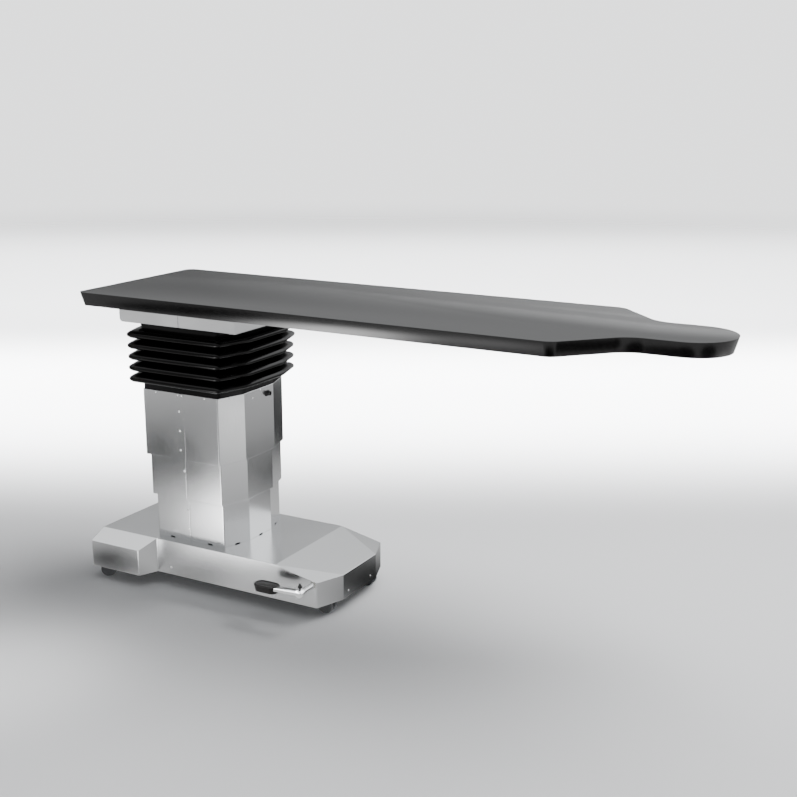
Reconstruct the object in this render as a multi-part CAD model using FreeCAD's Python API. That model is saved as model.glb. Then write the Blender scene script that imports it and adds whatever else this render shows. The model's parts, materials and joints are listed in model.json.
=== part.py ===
import FreeCAD
import Part
import math
import os

# Angiography table. Millimetres, +X along the table towards its narrow head end, +Z up.
# The origin is on the floor, on the axis of the lift column.

V = FreeCAD.Vector
SAME_POINT = 1e-6

# Tabletop
TOP_HEIGHT = 940.0        # upper face above the floor, as stored
TOP_WIDTH = 550.0
TOP_THICK = 42.0
TOP_FOOT_REACH = 304.0    # column axis to the foot end
TOP_SHOULDER_X = 1245.0   # column axis to where the taper starts
TOP_TAPER = 146.0         # length of the taper
TOP_LENGTH = 1942.0       # foot end to head end
HEAD_WIDTH = 236.0
FOOT_CORNER_R = 25.0
SHOULDER_R = 50.0
NECK_R = 90.0
EDGE_UNDERCUT = 12.0      # how far the underside stands in from the upper edge
SKIN = 2.5                # laminate wall of the tabletop

# Longitudinal and lateral float
TRAVEL_TO_HEAD = 50.0
TRAVEL_TO_FOOT = 450.0
CROSS_TRAVEL = 100.0
RAIL_W = 20.0
RAIL_H = 10.0
RAIL_GROOVE = 2.5
RAIL_GROOVE_H = 4.0
RAIL_PLAY = 0.3           # gap between a rail and its blocks
LONG_RAIL_Y = 60.0
LONG_BLOCK_X = 140.0
LONG_BLOCK_L = 60.0
CROSS_RAIL_X = 150.0
CROSS_BLOCK_Y = 48.0
CROSS_BLOCK_L = 56.0
BLOCK_W = 40.0
BLOCK_ROOF = 4.0
BLOCK_LIFT = 2.0          # gap between a block and the face its rail is screwed to
CARRIAGE_THICK = 11.5
CARRIAGE_MARGIN = 2.0
LONG_BLOCK_FLOOR = 6.7

# Float housing and tilt frame
HOUSING_HALF_X = 220.0
HOUSING_HALF_Y = 183.0
HOUSING_H = 38.0
HOUSING_SPLIT_X = 8.0
HOUSING_FOOT_R = 12.0     # rounded lower edge at the foot end
HOUSING_LIP_X = 52.0
HOUSING_LIP_Y = 7.5
FRAME_PLATE = 12.0
FRAME_SIDE_GAP = 1.0
FRAME_HOLE_R = 27.5
FRAME_HOLE_X = 93.0
FRAME_HOLE_SIDE = 60.0    # hole's middle from the plate's side

# Sheet metal
SHEET = 2.0
SEAM_GAP = 1.0
BEND_R = 4.0              # outside radius of every bend

# Column: the inner cover is the smallest, each next one stands out by the steps
COVER_FRONT_HALF = 129.7  # half the width of the front face
COVER_HALF_X = 160.7
COVER_HALF_Y = 153.0
COVER_SIDE_HALF = 57.6    # half the width of the end face
STEP_X = 6.6
STEP_Y = 10.0
COVER_CENTRE_X = -1.2     # the inner cover's middle
COVER_SHIFT = 2.6         # each next cover's middle lies this much nearer to the foot end
COVER_SEAM_X = -2.5
HEAD_HEIGHT = 208.0       # column top to the float housing
INNER_COVER_DROP = 283.5  # column top to the inner cover's top
MIDDLE_COVER_DROP = 143.5
MIDDLE_COVER_H = 201.0
OUTER_COVER_H = 212.0
HEAD_PLATE = 12.0
FOOT_SLOT_W = 18.0
FOOT_SLOT_H = 3.0
FOOT_SLOT_X = 74.0
STRIP_LEFT_X = -22.7
STRIP_RIGHT_X = 8.6
STRIP_THICK = 1.0

# Lift tubes and cylinder inside the column
LOWERED_GAP = 21.5        # left under the outer cover at the lowest position
INNER_TUBE = 100.0
TUBE_WALL = 5.0
TUBE_STEP = 20.0          # outside width from one tube to the next
PAD_GAP = 0.3
PAD_W = 50.0
PAD_H = 40.0              # upper and lower pads stay clear of each other when raised
BRACKET_THICK = 6.0
BRACKET_DROP = 4.0        # below the top of the middle cover
BRACKET_HOLE_R = 12.5
BOTTOM_GAP = 4.0          # left under a tube at the lowest position
ROD_R = 21.9
RUN_FIT = 0.05
CYLINDER_WALL = 5.0

# Tilting head
GIMBAL_RISE = 104.5       # column top to the tilt axes
TRUNNION_R = 12.0
TRUNNION_REACH = 100.0
YOKE_INNER = 85.0
YOKE_THICK = 12.0
YOKE_BOSS_R = 22.0
YOKE_FOOT_HALF = 55.0
YOKE_PLATE = 8.0
GIMBAL_BLOCK = 96.0
GIMBAL_BLOCK_H = 46.0
GEAR_MODULE = 3.0
PRESSURE_ANGLE = 25.0
SECTOR_TEETH = 36         # teeth that a full wheel would have
SHOWN_TEETH = 7
PINION_TEETH = 12
GEAR_W = 10.0
GEAR_AT = 70.0            # middle of the gears, from the gimbal's middle
GEAR_BACKLASH = 0.2       # taken off each tooth's thickness
ROOT_RATIO = 1.25         # tooth depth below the pitch circle, in modules
PINION_SHAFT_R = 5.0
MOTOR_R = 21.0
MOTOR_L = 58.0
SECTOR_HUB_R = 19.0

# Bellows
FOLD_TIP = 36.0           # how far a fold stands out of the neck
FOLD_PITCH = 35.0
FOLDS_PER_HALF = 2.5
BELLOWS_WALL = 2.5
BELLOWS_INSET = 1.0       # the neck stands in from the outer cover
NECK_CORNER_R = 5.0
TIP_CORNER_R = 14.0
COLLAR_OUT = 6.0          # the neck at the housing is this much wider all round
COLLAR_SHIFT = 8.0        # and its middle lies this much nearer to the head end

# Base
BASE_DECK = 150.0
BASE_SKIRT = 38.5
BASE_HALF_Y = 191.6
BASE_FOOT_X = 331.0
SLOPE_START_X = 347.0
CORNER_X = 493.0
BASE_HEAD_X = 529.0
BASE_HEAD_HALF = 97.0
BASE_HEAD_TOP = 119.0
BLOCK_HALF_Y = 252.0
BLOCK_TOP = 122.5
BLOCK_INNER_X = -110.0
BLOCK_OUTER_X = -137.0
CHASSIS_Z = 64.0
CHASSIS_THICK = 16.0
CHASSIS_RIB = 20.0
CHASSIS_RIB_W = 12.0
SOCKET_WALL = 18.0
SOCKET_H = 30.0

# Machinery on the chassis: lengths run along X, widths along Y
DECK_CLEARANCE = 4.0
BALLAST_X = -195.0
BALLAST_Y = 125.0
BALLAST_L = 80.0
BALLAST_W = 110.0
BATTERY_X = -270.0
BATTERY_Y = 62.0
BATTERY_L = 64.0
BATTERY_W = 104.0
BATTERY_H = 58.0
TANK_X = 225.0
TANK_Y = -60.0
TANK_L = 90.0
TANK_W = 110.0
TANK_H = 56.0
PUMP_MOTOR_R = 26.0
PUMP_MOTOR_L = 95.0
CONTROL_X = 255.0
CONTROL_Y = 75.0
CONTROL_L = 140.0
CONTROL_W = 100.0
CONTROL_H = 44.0
FIN_COUNT = 11
FIN_T = 4.0
FIN_H = 6.0

# Casters
WHEEL_R = 25.0
WHEEL_W = 11.0
WHEEL_GAP = 0.5           # between a wheel and the fork's web
CASTER_TRAIL = 20.0
CASTER_WEB = 5.0
HOOD_GAP = 2.0
HOOD_WALL = 2.0
FORK_TOP = 60.0
FORK_DISC_R = 16.0
FORK_DISC_H = 4.0
STEM_R = 6.0
STEM_L = 32.0
STEM_END_GAP = 1.0        # left above the stem in its bore
SWIVEL_BOSS_R = 18.0
SWIVEL_GAP = 0.3          # between the fork's disc and its boss
AXLE_R = 4.0
AXLE_BOSS_R = 9.0
WEB_EDGE = 3.0            # the web stands in from the disc's edge
WEB_SLANT = 2.0
HEAD_CASTER_X = 465.0
HEAD_CASTER_Y = 122.0
FOOT_CASTER_X = -281.5
FOOT_CASTER_Y = 202.5

# Brake pedal
PEDAL_X = 481.0
PEDAL_Z = 111.0
PEDAL_SHAFT_R = 7.0
PEDAL_SLEEVE_R = 9.0      # thicker stretch of the shaft outside the base
PEDAL_REACH = 70.0        # shaft beyond the side of the base
PEDAL_ARM_L = 122.0       # shaft to the middle of the pad
PEDAL_ARM_DROP = 4.0      # the arm's end hangs this much lower than its eye
PEDAL_ARM_H = 12.0
PEDAL_ARM_W = 20.0
PEDAL_EYE_WALL = 3.0
PAD_LENGTH = 83.0
PAD_DEPTH = 46.0
PAD_HEIGHT = 23.0
PAD_SINK = 8.0            # the pad's middle hangs this much lower than the shaft
PAD_BACK = 6.0            # and this much nearer to the base
PAD_DRAFT = 4.0
PAD_EDGE = 3.0
PAD_END_R = 21.6
PAD_RIM = 7.5             # around the dish
PAD_DISH = 1.5
ARM_THIN_RATIO = 0.8      # the arm's height at the pad, against its height at the eye
KNOB_R = 6.5
KNOB_H = 10.0
KNOB_STEM_R = 3.0
KNOB_NECK = 3.0           # stem between the eye and the knob
KNOB_STUB = 5.0           # stem above the knob
BUSH_WALL = 1.5
BUSH_FLANGE = 2.0
BEARING_Y = 152.0
BEARING_W = 16.0
BEARING_WALL = 3.0
BEARING_GAP = 0.3

# Socket on the column, inlet and earth pin on the foot end
SOCKET_Y = 44.0
SOCKET_DROP = 23.5        # below the column's top
SOCKET_PLATE = 18.0
SOCKET_PLATE_T = 3.0
SOCKET_R = 7.5
SOCKET_L = 12.0
SOCKET_BORE_R = 5.0
SOCKET_BORE_L = 10.0
INLET_Y = -80.0
INLET_Z = 122.0
INLET_W = 48.0
INLET_H = 28.0
INLET_RECESS_W = 27.0
INLET_RECESS_H = 20.0
INLET_DEPTH = 15.0
BLADE_T = 2.0
BLADE_H = 4.0
BLADE_Y = 7.0             # outer blades from the middle one
BLADE_RISE = 4.0          # middle blade above the inlet's middle
BLADE_FALL = 2.0          # outer blades below it
EARTH_Y = 60.0
EARTH_Z = 118.0
EARTH_R = 3.0
EARTH_L = 12.0
EARTH_COLLAR_R = 8.0

TOP_UNDER = TOP_HEIGHT - TOP_THICK
HOUSING_Z = (
    TOP_UNDER - RAIL_H - RAIL_PLAY - LONG_BLOCK_FLOOR - CARRIAGE_THICK
    - BLOCK_ROOF - RAIL_H - FRAME_PLATE - SHEET
)
FRAME_Z = HOUSING_Z + SHEET
FRAME_TOP = FRAME_Z + FRAME_PLATE
CROSS_ROOF_Z = FRAME_TOP + RAIL_H + BLOCK_ROOF
CARRIAGE_TOP = CROSS_ROOF_Z + CARRIAGE_THICK
COLUMN_TOP = HOUSING_Z - HEAD_HEIGHT
GIMBAL_Z = COLUMN_TOP + GIMBAL_RISE
INNER_COVER_TOP = COLUMN_TOP - INNER_COVER_DROP
MIDDLE_COVER_TOP = COLUMN_TOP - MIDDLE_COVER_DROP
MIDDLE_COVER_FOOT = MIDDLE_COVER_TOP - MIDDLE_COVER_H
OUTER_COVER_FOOT = COLUMN_TOP - OUTER_COVER_H
LIFT_DOWN = OUTER_COVER_FOOT - BASE_DECK - LOWERED_GAP
CHASSIS_TOP = CHASSIS_Z + CHASSIS_THICK
SECTOR_R = GEAR_MODULE * SECTOR_TEETH / 2
PINION_R = GEAR_MODULE * PINION_TEETH / 2


def box(x_range, y_range, z_range):
    size = [high - low for low, high in (x_range, y_range, z_range)]
    return Part.makeBox(*size, V(x_range[0], y_range[0], z_range[0]))


def centred_box(centre, size):
    ranges = [(c - s / 2, c + s / 2) for c, s in zip(centre, size)]
    return box(*ranges)


def rod(radius, start, direction, length):
    return Part.makeCylinder(radius, length, V(*start), V(*direction))


def inset_outline(corners, inset):
    """Corners (x, y, radius) of a counter-clockwise outline moved inwards by inset."""
    moved = []
    count = len(corners)
    for i, (x, y, radius) in enumerate(corners):
        before = corners[i - 1]
        after = corners[(i + 1) % count]
        first = V(x - before[0], y - before[1], 0).normalize()
        second = V(after[0] - x, after[1] - y, 0).normalize()
        normal = V(-first.y, first.x, 0) + V(-second.y, second.x, 0)
        scale = inset / (1 + first.dot(second))
        turn = first.x * second.y - first.y * second.x
        new_radius = radius - math.copysign(inset, turn) if radius else 0
        moved.append((x + normal.x * scale, y + normal.y * scale, max(new_radius, 0)))
    return moved


def corner_edges(start, crown, end, corner, flats):
    """Arc round a corner. With flats, its chord, or the sharp corner where it turns inwards."""
    if not flats:
        return [Part.Arc(start, crown, end).toShape()]
    if (corner - start).cross(end - corner).z > 0:
        return [Part.makeLine(start, end)]
    return [Part.makeLine(start, corner), Part.makeLine(corner, end)]


def outline_wire(corners, z, flats=False):
    """Closed wire with an arc, or flats instead, at each corner that has a radius."""
    ends = []
    count = len(corners)
    for i, (x, y, radius) in enumerate(corners):
        here = V(x, y, z)
        before = corners[i - 1]
        after = corners[(i + 1) % count]
        back = (V(before[0], before[1], z) - here).normalize()
        forth = (V(after[0], after[1], z) - here).normalize()
        half = back.getAngle(forth) / 2
        reach = radius / math.tan(half)
        bisector = (back + forth).normalize()
        crown = here + bisector * (radius / math.sin(half) - radius)
        ends.append((here + back * reach, crown, here + forth * reach, here))
    edges = []
    for i, (start, crown, end, corner) in enumerate(ends):
        if (end - start).Length > SAME_POINT:
            edges += corner_edges(start, crown, end, corner, flats)
        next_start = ends[(i + 1) % count][0]
        if (next_start - end).Length > SAME_POINT:
            edges.append(Part.makeLine(end, next_start))
    return Part.Wire(edges)


def prism(corners, low, high, flats=False):
    face = Part.Face(outline_wire(corners, low, flats))
    return face.extrude(V(0, 0, high - low))


def loft(sections):
    wires = [outline_wire(corners, z) for corners, z in sections]
    return Part.makeLoft(wires, True, True)


def flat_sided_loft(sections):
    """Loft between outlines with flats at their corners, out of plane faces only."""
    rings = []
    for corners, z in sections:
        wire = outline_wire(corners, z, True)
        rings.append([vertex.Point for vertex in wire.OrderedVertexes])
    faces = [Part.Face(Part.makePolygon(ring + ring[:1])) for ring in (rings[0], rings[-1])]
    for low, high in zip(rings, rings[1:]):
        for i in range(len(low)):
            corners = [low[i - 1], low[i], high[i], high[i - 1]]
            faces.append(Part.Face(Part.makePolygon(corners + corners[:1])))
    solid = Part.Solid(Part.makeShell(faces))
    solid.fix(SAME_POINT, SAME_POINT, SAME_POINT)
    return solid


def bent(points, radius=BEND_R):
    return [(x, y, radius) for x, y in points]


def rectangle(half_x, half_y, radius=0.0):
    points = [(-half_x, -half_y), (half_x, -half_y), (half_x, half_y), (-half_x, half_y)]
    return [(x, y, radius) for x, y in points]


def side_profile(points, low, high):
    """Extrude an (x, z) outline from y = low to y = high."""
    wire = Part.makePolygon([V(x, low, z) for x, z in points + points[:1]])
    return Part.Face(wire).extrude(V(0, high - low, 0))


def halfspace(origin, normal, reach=3000.0):
    """Block that fills everything on the normal's side of a plane."""
    turn = FreeCAD.Rotation(V(0, 0, 1), normal)
    block = Part.makeBox(reach, reach, reach, V(-reach / 2, -reach / 2, 0))
    block.Placement = FreeCAD.Placement(origin, turn)
    return block


def fused(shapes):
    body = shapes[0].multiFuse(shapes[1:])
    return body.removeSplitter()


def group(shapes):
    return Part.makeCompound(shapes)


def swap_axes(shape):
    """Turn what was built along Y so that it lies along X."""
    turned = shape.copy()
    turned.rotate(V(0, 0, 0), V(0, 0, 1), -90)
    return turned


# Outlines in plan

def tabletop_outline():
    half = TOP_WIDTH / 2
    head = HEAD_WIDTH / 2
    tip = TOP_LENGTH - TOP_FOOT_REACH
    neck = TOP_SHOULDER_X + TOP_TAPER
    near = [
        (-TOP_FOOT_REACH, -half, FOOT_CORNER_R),
        (TOP_SHOULDER_X, -half, SHOULDER_R),
        (neck, -head, NECK_R),
        (tip, -head, head),
    ]
    far = [(x, -y, r) for x, y, r in reversed(near)]
    return near + far


def cover_centre(stage):
    return COVER_CENTRE_X - COVER_SHIFT * stage


def column_outline(stage):
    """Eight-sided outline of a cover: stage 0 is the inner one, 2 the outer one."""
    front = COVER_FRONT_HALF + STEP_X * stage
    half_x = COVER_HALF_X + STEP_X * stage
    half_y = COVER_HALF_Y + STEP_Y * stage
    side = COVER_SIDE_HALF + STEP_Y * stage
    quarter = [(front, -half_y), (half_x, -side), (half_x, side), (front, half_y)]
    points = quarter + [(-x, -y) for x, y in quarter]
    return bent([(cover_centre(stage) + x, y) for x, y in points])


def base_outline():
    near = [
        (BLOCK_INNER_X, -BASE_HALF_Y),
        (CORNER_X, -BASE_HALF_Y),
        (BASE_HEAD_X, -BASE_HEAD_HALF),
    ]
    outrigger = [(-BASE_FOOT_X, -BLOCK_HALF_Y), (BLOCK_OUTER_X, -BLOCK_HALF_Y)]
    near_side = outrigger + near
    far_side = [(x, -y) for x, y in reversed(near_side)]
    return bent(near_side + far_side)


# Base

def base_form(inset, low, flats=False):
    """Outer form of the base cover, every face moved inwards by inset, from z = low up."""
    form = prism(inset_outline(base_outline(), inset), low, BASE_DECK - inset, flats)
    drop = BASE_DECK - BASE_HEAD_TOP
    slopes = [
        (V(SLOPE_START_X, 0, BASE_DECK), V(drop, 0, BASE_HEAD_X - SLOPE_START_X)),
    ]
    block_drop = BASE_DECK - BLOCK_TOP
    for side in (-1, 1):
        start = V(SLOPE_START_X, side * BASE_HALF_Y, BASE_DECK)
        corner = V(CORNER_X, side * BASE_HALF_Y, BASE_HEAD_TOP)
        end = V(BASE_HEAD_X, side * BASE_HEAD_HALF, BASE_HEAD_TOP)
        normal = (corner - start).cross(end - start)
        slopes.append((start, normal * math.copysign(1, normal.z)))
        wedge = V(0, side * block_drop, BLOCK_HALF_Y - BASE_HALF_Y)
        slopes.append((V(0, side * BASE_HALF_Y, BASE_DECK), wedge))
    for origin, normal in slopes:
        unit = V(normal).normalize()
        form = form.cut(halfspace(origin - unit * inset, unit))
    return form


def base_cover():
    cover = base_form(0, BASE_SKIRT).cut(base_form(SHEET, BASE_SKIRT - SHEET))
    hole = INNER_TUBE / 2 + TUBE_STEP + SHEET
    cover = cover.cut(prism(rectangle(hole, hole), BASE_SKIRT, BASE_DECK + SHEET))
    shaft_hole = rod(bush_radius(), (PEDAL_X, -BASE_HALF_Y - SHEET, PEDAL_Z), (0, 1, 0), 3 * SHEET)
    inlet_hole = centred_box(
        (-BASE_FOOT_X, INLET_Y, INLET_Z),
        (4 * SHEET, INLET_W - 2 * SHEET, INLET_H - 2 * SHEET),
    )
    earth_hole = rod(EARTH_R, (-BASE_FOOT_X - SHEET, EARTH_Y, EARTH_Z), (1, 0, 0), 3 * SHEET)
    return cover.cut(shaft_hole).cut(inlet_hole).cut(earth_hole)


def chassis():
    """Cast plate with a raised rim, cross ribs, swivel bosses and a socket for the tube."""
    top = CHASSIS_TOP
    rim_top = top + CHASSIS_RIB
    reach = BASE_FOOT_X + BASE_HEAD_X
    inner = base_form(SHEET, CHASSIS_Z, True)
    plate = inner.common(box((-reach, reach), (-reach, reach), (CHASSIS_Z, top)))
    rim = inner.common(box((-reach, reach), (-reach, reach), (top, rim_top)))
    rim = rim.cut(base_form(SHEET + CHASSIS_RIB_W, CHASSIS_Z, True))
    tube = fixed_tube_half()
    socket_half = tube + SOCKET_WALL
    socket = prism(rectangle(socket_half, socket_half), top, top + SOCKET_H)
    rib_y = BASE_HALF_Y - SHEET
    parts = [plate, rim, socket]
    for side in (-1, 1):
        rib = centred_box((0, side * (socket_half + rib_y) / 2, top + CHASSIS_RIB / 2),
                          (CHASSIS_RIB_W, rib_y - socket_half, CHASSIS_RIB))
        parts.append(rib)
    low = FORK_TOP + SWIVEL_GAP
    for x, y, _ in caster_places():
        parts.append(rod(SWIVEL_BOSS_R, (x, y, low), (0, 0, 1), rim_top - low))
    body = fused(parts)
    body = body.cut(prism(rectangle(tube, tube), top, top + SOCKET_H))
    for x, y, _ in caster_places():
        body = body.cut(rod(STEM_R + RUN_FIT, (x, y, low), (0, 0, 1), STEM_L + STEM_END_GAP))
    for side in (-1, 1):
        body = body.cut(bearing_foot(side, BEARING_GAP))
    return body


def on_chassis(x, y, size):
    """Block of size (length, width, height) that stands on the chassis."""
    return centred_box((x, y, CHASSIS_TOP + size[2] / 2), size)


def ballast_weights():
    """Two steel blocks at the foot end, against the tabletop's reach at the head end."""
    height = BASE_DECK - SHEET - DECK_CLEARANCE - CHASSIS_TOP
    size = (BALLAST_L, BALLAST_W, height)
    return group([on_chassis(BALLAST_X, side * BALLAST_Y, size) for side in (-1, 1)])


def pump_unit():
    """Oil tank with its motor lying beside it on a foot."""
    tank = on_chassis(TANK_X, TANK_Y, (TANK_L, TANK_W, TANK_H))
    axis_z = CHASSIS_TOP + TANK_H / 2
    side = TANK_X + TANK_L / 2
    motor = rod(PUMP_MOTOR_R, (side, TANK_Y, axis_z), (1, 0, 0), PUMP_MOTOR_L)
    foot = on_chassis(side + PUMP_MOTOR_L / 2, TANK_Y, (PUMP_MOTOR_L / 2, PUMP_MOTOR_R, TANK_H / 4))
    return fused([tank, motor, foot])


def battery_packs():
    size = (BATTERY_L, BATTERY_W, BATTERY_H)
    return group([on_chassis(BATTERY_X, side * BATTERY_Y, size) for side in (-1, 1)])


def control_box():
    """Closed box with cooling fins along its top."""
    case = on_chassis(CONTROL_X, CONTROL_Y, (CONTROL_L, CONTROL_W, CONTROL_H))
    pitch = (CONTROL_L - FIN_T) / (FIN_COUNT - 1)
    first = CONTROL_X - (CONTROL_L - FIN_T) / 2
    size = (FIN_T, CONTROL_W, CONTROL_H + FIN_H)
    fins = [on_chassis(first + pitch * i, CONTROL_Y, size) for i in range(FIN_COUNT)]
    return fused([case] + fins)


def mains_inlet():
    """Three-pin inlet with a flange on the foot end face."""
    face = -BASE_FOOT_X
    flange = centred_box((face - SHEET / 2, INLET_Y, INLET_Z), (SHEET, INLET_W, INLET_H))
    body_depth = INLET_DEPTH + SHEET
    body = centred_box((face + body_depth / 2, INLET_Y, INLET_Z),
                       (body_depth, INLET_W - 2 * SHEET, INLET_H - 2 * SHEET))
    shell = fused([flange, body])
    recess_x = face - SHEET + INLET_DEPTH / 2
    recess = centred_box((recess_x, INLET_Y, INLET_Z),
                         (INLET_DEPTH, INLET_RECESS_W, INLET_RECESS_H))
    shell = shell.cut(recess)
    blade_x = face + INLET_DEPTH / 2
    blades = []
    for offset, lift in ((-BLADE_Y, -BLADE_FALL), (0, BLADE_RISE), (BLADE_Y, -BLADE_FALL)):
        blades.append(centred_box((blade_x, INLET_Y + offset, INLET_Z + lift),
                                  (INLET_DEPTH, BLADE_T, BLADE_H)))
    return fused([shell] + blades)


def equipotential_pin():
    """Round earth pin with a collar, on the foot end face."""
    face = -BASE_FOOT_X
    collar = rod(EARTH_COLLAR_R, (face, EARTH_Y, EARTH_Z), (-1, 0, 0), BUSH_FLANGE)
    pin = rod(EARTH_R, (face + SHEET, EARTH_Y, EARTH_Z), (-1, 0, 0), SHEET + BUSH_FLANGE + EARTH_L)
    return fused([collar, pin])


# Column covers

def cover_half(stage, low, high, side):
    """Half of a folded sheet cover: side -1 is towards the foot end, +1 the head end."""
    outline = column_outline(stage)
    shell = prism(outline, low, high)
    shell = shell.cut(prism(inset_outline(outline, SHEET), low, high))
    edge = COVER_SEAM_X + side * SEAM_GAP / 2
    reach = BASE_HALF_Y + BLOCK_HALF_Y
    x_range = (edge, edge + reach) if side > 0 else (edge - reach, edge)
    return shell.common(box(x_range, (-reach, reach), (low, high)))


def foot_slots():
    """Cutters for the small slots where the inner cover meets the deck."""
    z = BASE_DECK + FOOT_SLOT_H / 2
    middle = cover_centre(0)
    chamfer_x = (COVER_FRONT_HALF + COVER_HALF_X) / 2
    chamfer_y = (COVER_HALF_Y + COVER_SIDE_HALF) / 2
    reach = 4 * SHEET
    cutters = []
    for side in (-1, 1):
        for x in (-FOOT_SLOT_X, FOOT_SLOT_X):
            cutters.append(centred_box((middle + x, side * COVER_HALF_Y, z),
                                       (FOOT_SLOT_W, reach, FOOT_SLOT_H)))
        cutters.append(centred_box((middle + side * COVER_HALF_X, 0, z),
                                   (reach, FOOT_SLOT_W, FOOT_SLOT_H)))
        for end in (-1, 1):
            cutters.append(centred_box((middle + side * chamfer_x, end * chamfer_y, z),
                                       (2 * reach, FOOT_SLOT_W, FOOT_SLOT_H)))
    return cutters


def inner_cover(side):
    shell = cover_half(0, BASE_DECK, INNER_COVER_TOP, side)
    return shell.cut(foot_slots())


def middle_cover(side):
    return cover_half(1, MIDDLE_COVER_FOOT, MIDDLE_COVER_TOP, side)


def outer_cover(side):
    shell = cover_half(2, OUTER_COVER_FOOT, COLUMN_TOP, side)
    if side > 0:
        return shell.cut(socket_hole())
    return shell


def outer_half_y():
    return COVER_HALF_Y + 2 * STEP_Y


def outer_head_x():
    """Outside of the outer cover's face towards the head end."""
    return cover_centre(2) + COVER_HALF_X + 2 * STEP_X


def joint_strip():
    """Thin cover strip over the front seam of the outer cover."""
    y = -outer_half_y()
    return box((STRIP_LEFT_X, STRIP_RIGHT_X), (y - STRIP_THICK, y), (OUTER_COVER_FOOT, COLUMN_TOP))


def socket_z():
    return COLUMN_TOP - SOCKET_DROP


def socket_hole():
    start = (outer_head_x() - 2 * SHEET, SOCKET_Y, socket_z())
    return rod(SOCKET_R, start, (1, 0, 0), 4 * SHEET)


def handset_socket():
    """Square plate with a round socket for the hand control's plug."""
    face = outer_head_x()
    plate = centred_box((face + SOCKET_PLATE_T / 2, SOCKET_Y, socket_z()),
                        (SOCKET_PLATE_T, SOCKET_PLATE, SOCKET_PLATE))
    back = face - SHEET
    length = SHEET + SOCKET_L
    barrel = rod(SOCKET_R, (back, SOCKET_Y, socket_z()), (1, 0, 0), length)
    mouth = (back + length - SOCKET_BORE_L, SOCKET_Y, socket_z())
    bore = rod(SOCKET_BORE_R, mouth, (1, 0, 0), SOCKET_BORE_L)
    return fused([plate, barrel]).cut(bore)


# Lift tubes, pads and cylinder

def fixed_tube_half():
    return INNER_TUBE / 2 + TUBE_STEP


def square_tube(stage, low, high):
    """Square guide tube: stage 0 is the fixed one, 2 the smallest."""
    half = INNER_TUBE / 2 + TUBE_STEP * (2 - stage) / 2
    tube = prism(rectangle(half, half), low, high)
    hollow = half - TUBE_WALL
    return tube.cut(prism(rectangle(hollow, hollow), low, high))


def tube_bottom(share):
    """Lowest end of a tube that makes the given share of the lift's travel."""
    return CHASSIS_TOP + BOTTOM_GAP + LIFT_DOWN * share


def pads_between(stage, low, fixed_to_outer):
    """Four guide pads in the gap round a tube, which they clear on one side."""
    face = INNER_TUBE / 2 + TUBE_STEP * (2 - stage) / 2
    gap = TUBE_STEP / 2 - TUBE_WALL
    near = face + PAD_GAP if fixed_to_outer else face
    far = face + gap if fixed_to_outer else face + gap - PAD_GAP
    pads = []
    for quarter in range(4):
        pad = box((near, far), (-PAD_W / 2, PAD_W / 2), (low, low + PAD_H))
        pad.rotate(V(0, 0, 0), V(0, 0, 1), 90 * quarter)
        pads.append(pad)
    return pads


def fixed_tube_pads():
    return group(pads_between(1, INNER_COVER_TOP - PAD_H, True))


def middle_tube_pads():
    upper = pads_between(2, MIDDLE_COVER_TOP - PAD_H, True)
    lower = pads_between(1, tube_bottom(0.5), False)
    return group(upper + lower)


def inner_tube_pads():
    return group(pads_between(2, tube_bottom(1), False))


def middle_bracket():
    """Ring plate that carries the middle cover on the middle tube."""
    low = MIDDLE_COVER_TOP - BRACKET_DROP - BRACKET_THICK
    plate = prism(inset_outline(column_outline(1), SHEET), low, low + BRACKET_THICK)
    half = fixed_tube_half() - TUBE_STEP / 2
    plate = plate.cut(prism(rectangle(half, half), low, low + BRACKET_THICK))
    out = half + 2 * BRACKET_HOLE_R
    for side_x in (-1, 1):
        for side_y in (-1, 1):
            centre = (side_x * out, side_y * out, low)
            plate = plate.cut(rod(BRACKET_HOLE_R, centre, (0, 0, 1), BRACKET_THICK))
    return plate


def cylinder_stage(radius, wall, low, high):
    start = (0, 0, low)
    sleeve = rod(radius, start, (0, 0, 1), high - low)
    return sleeve.cut(rod(radius - wall, start, (0, 0, 1), high - low))


def middle_stage_radius():
    return ROD_R + RUN_FIT + CYLINDER_WALL


def cylinder_barrel():
    radius = middle_stage_radius() + RUN_FIT + CYLINDER_WALL
    return cylinder_stage(radius, CYLINDER_WALL, CHASSIS_TOP, INNER_COVER_TOP)


def cylinder_middle_stage():
    low = tube_bottom(0.5)
    return cylinder_stage(middle_stage_radius(), CYLINDER_WALL, low, MIDDLE_COVER_TOP)


def cylinder_rod():
    low = tube_bottom(1)
    return rod(ROD_R, (0, 0, low), (0, 0, 1), head_plate_z() - low)


def head_plate_z():
    return COLUMN_TOP - HEAD_PLATE


def head_plate():
    return prism(inset_outline(column_outline(2), SHEET), head_plate_z(), COLUMN_TOP)


# Tilting head

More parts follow.
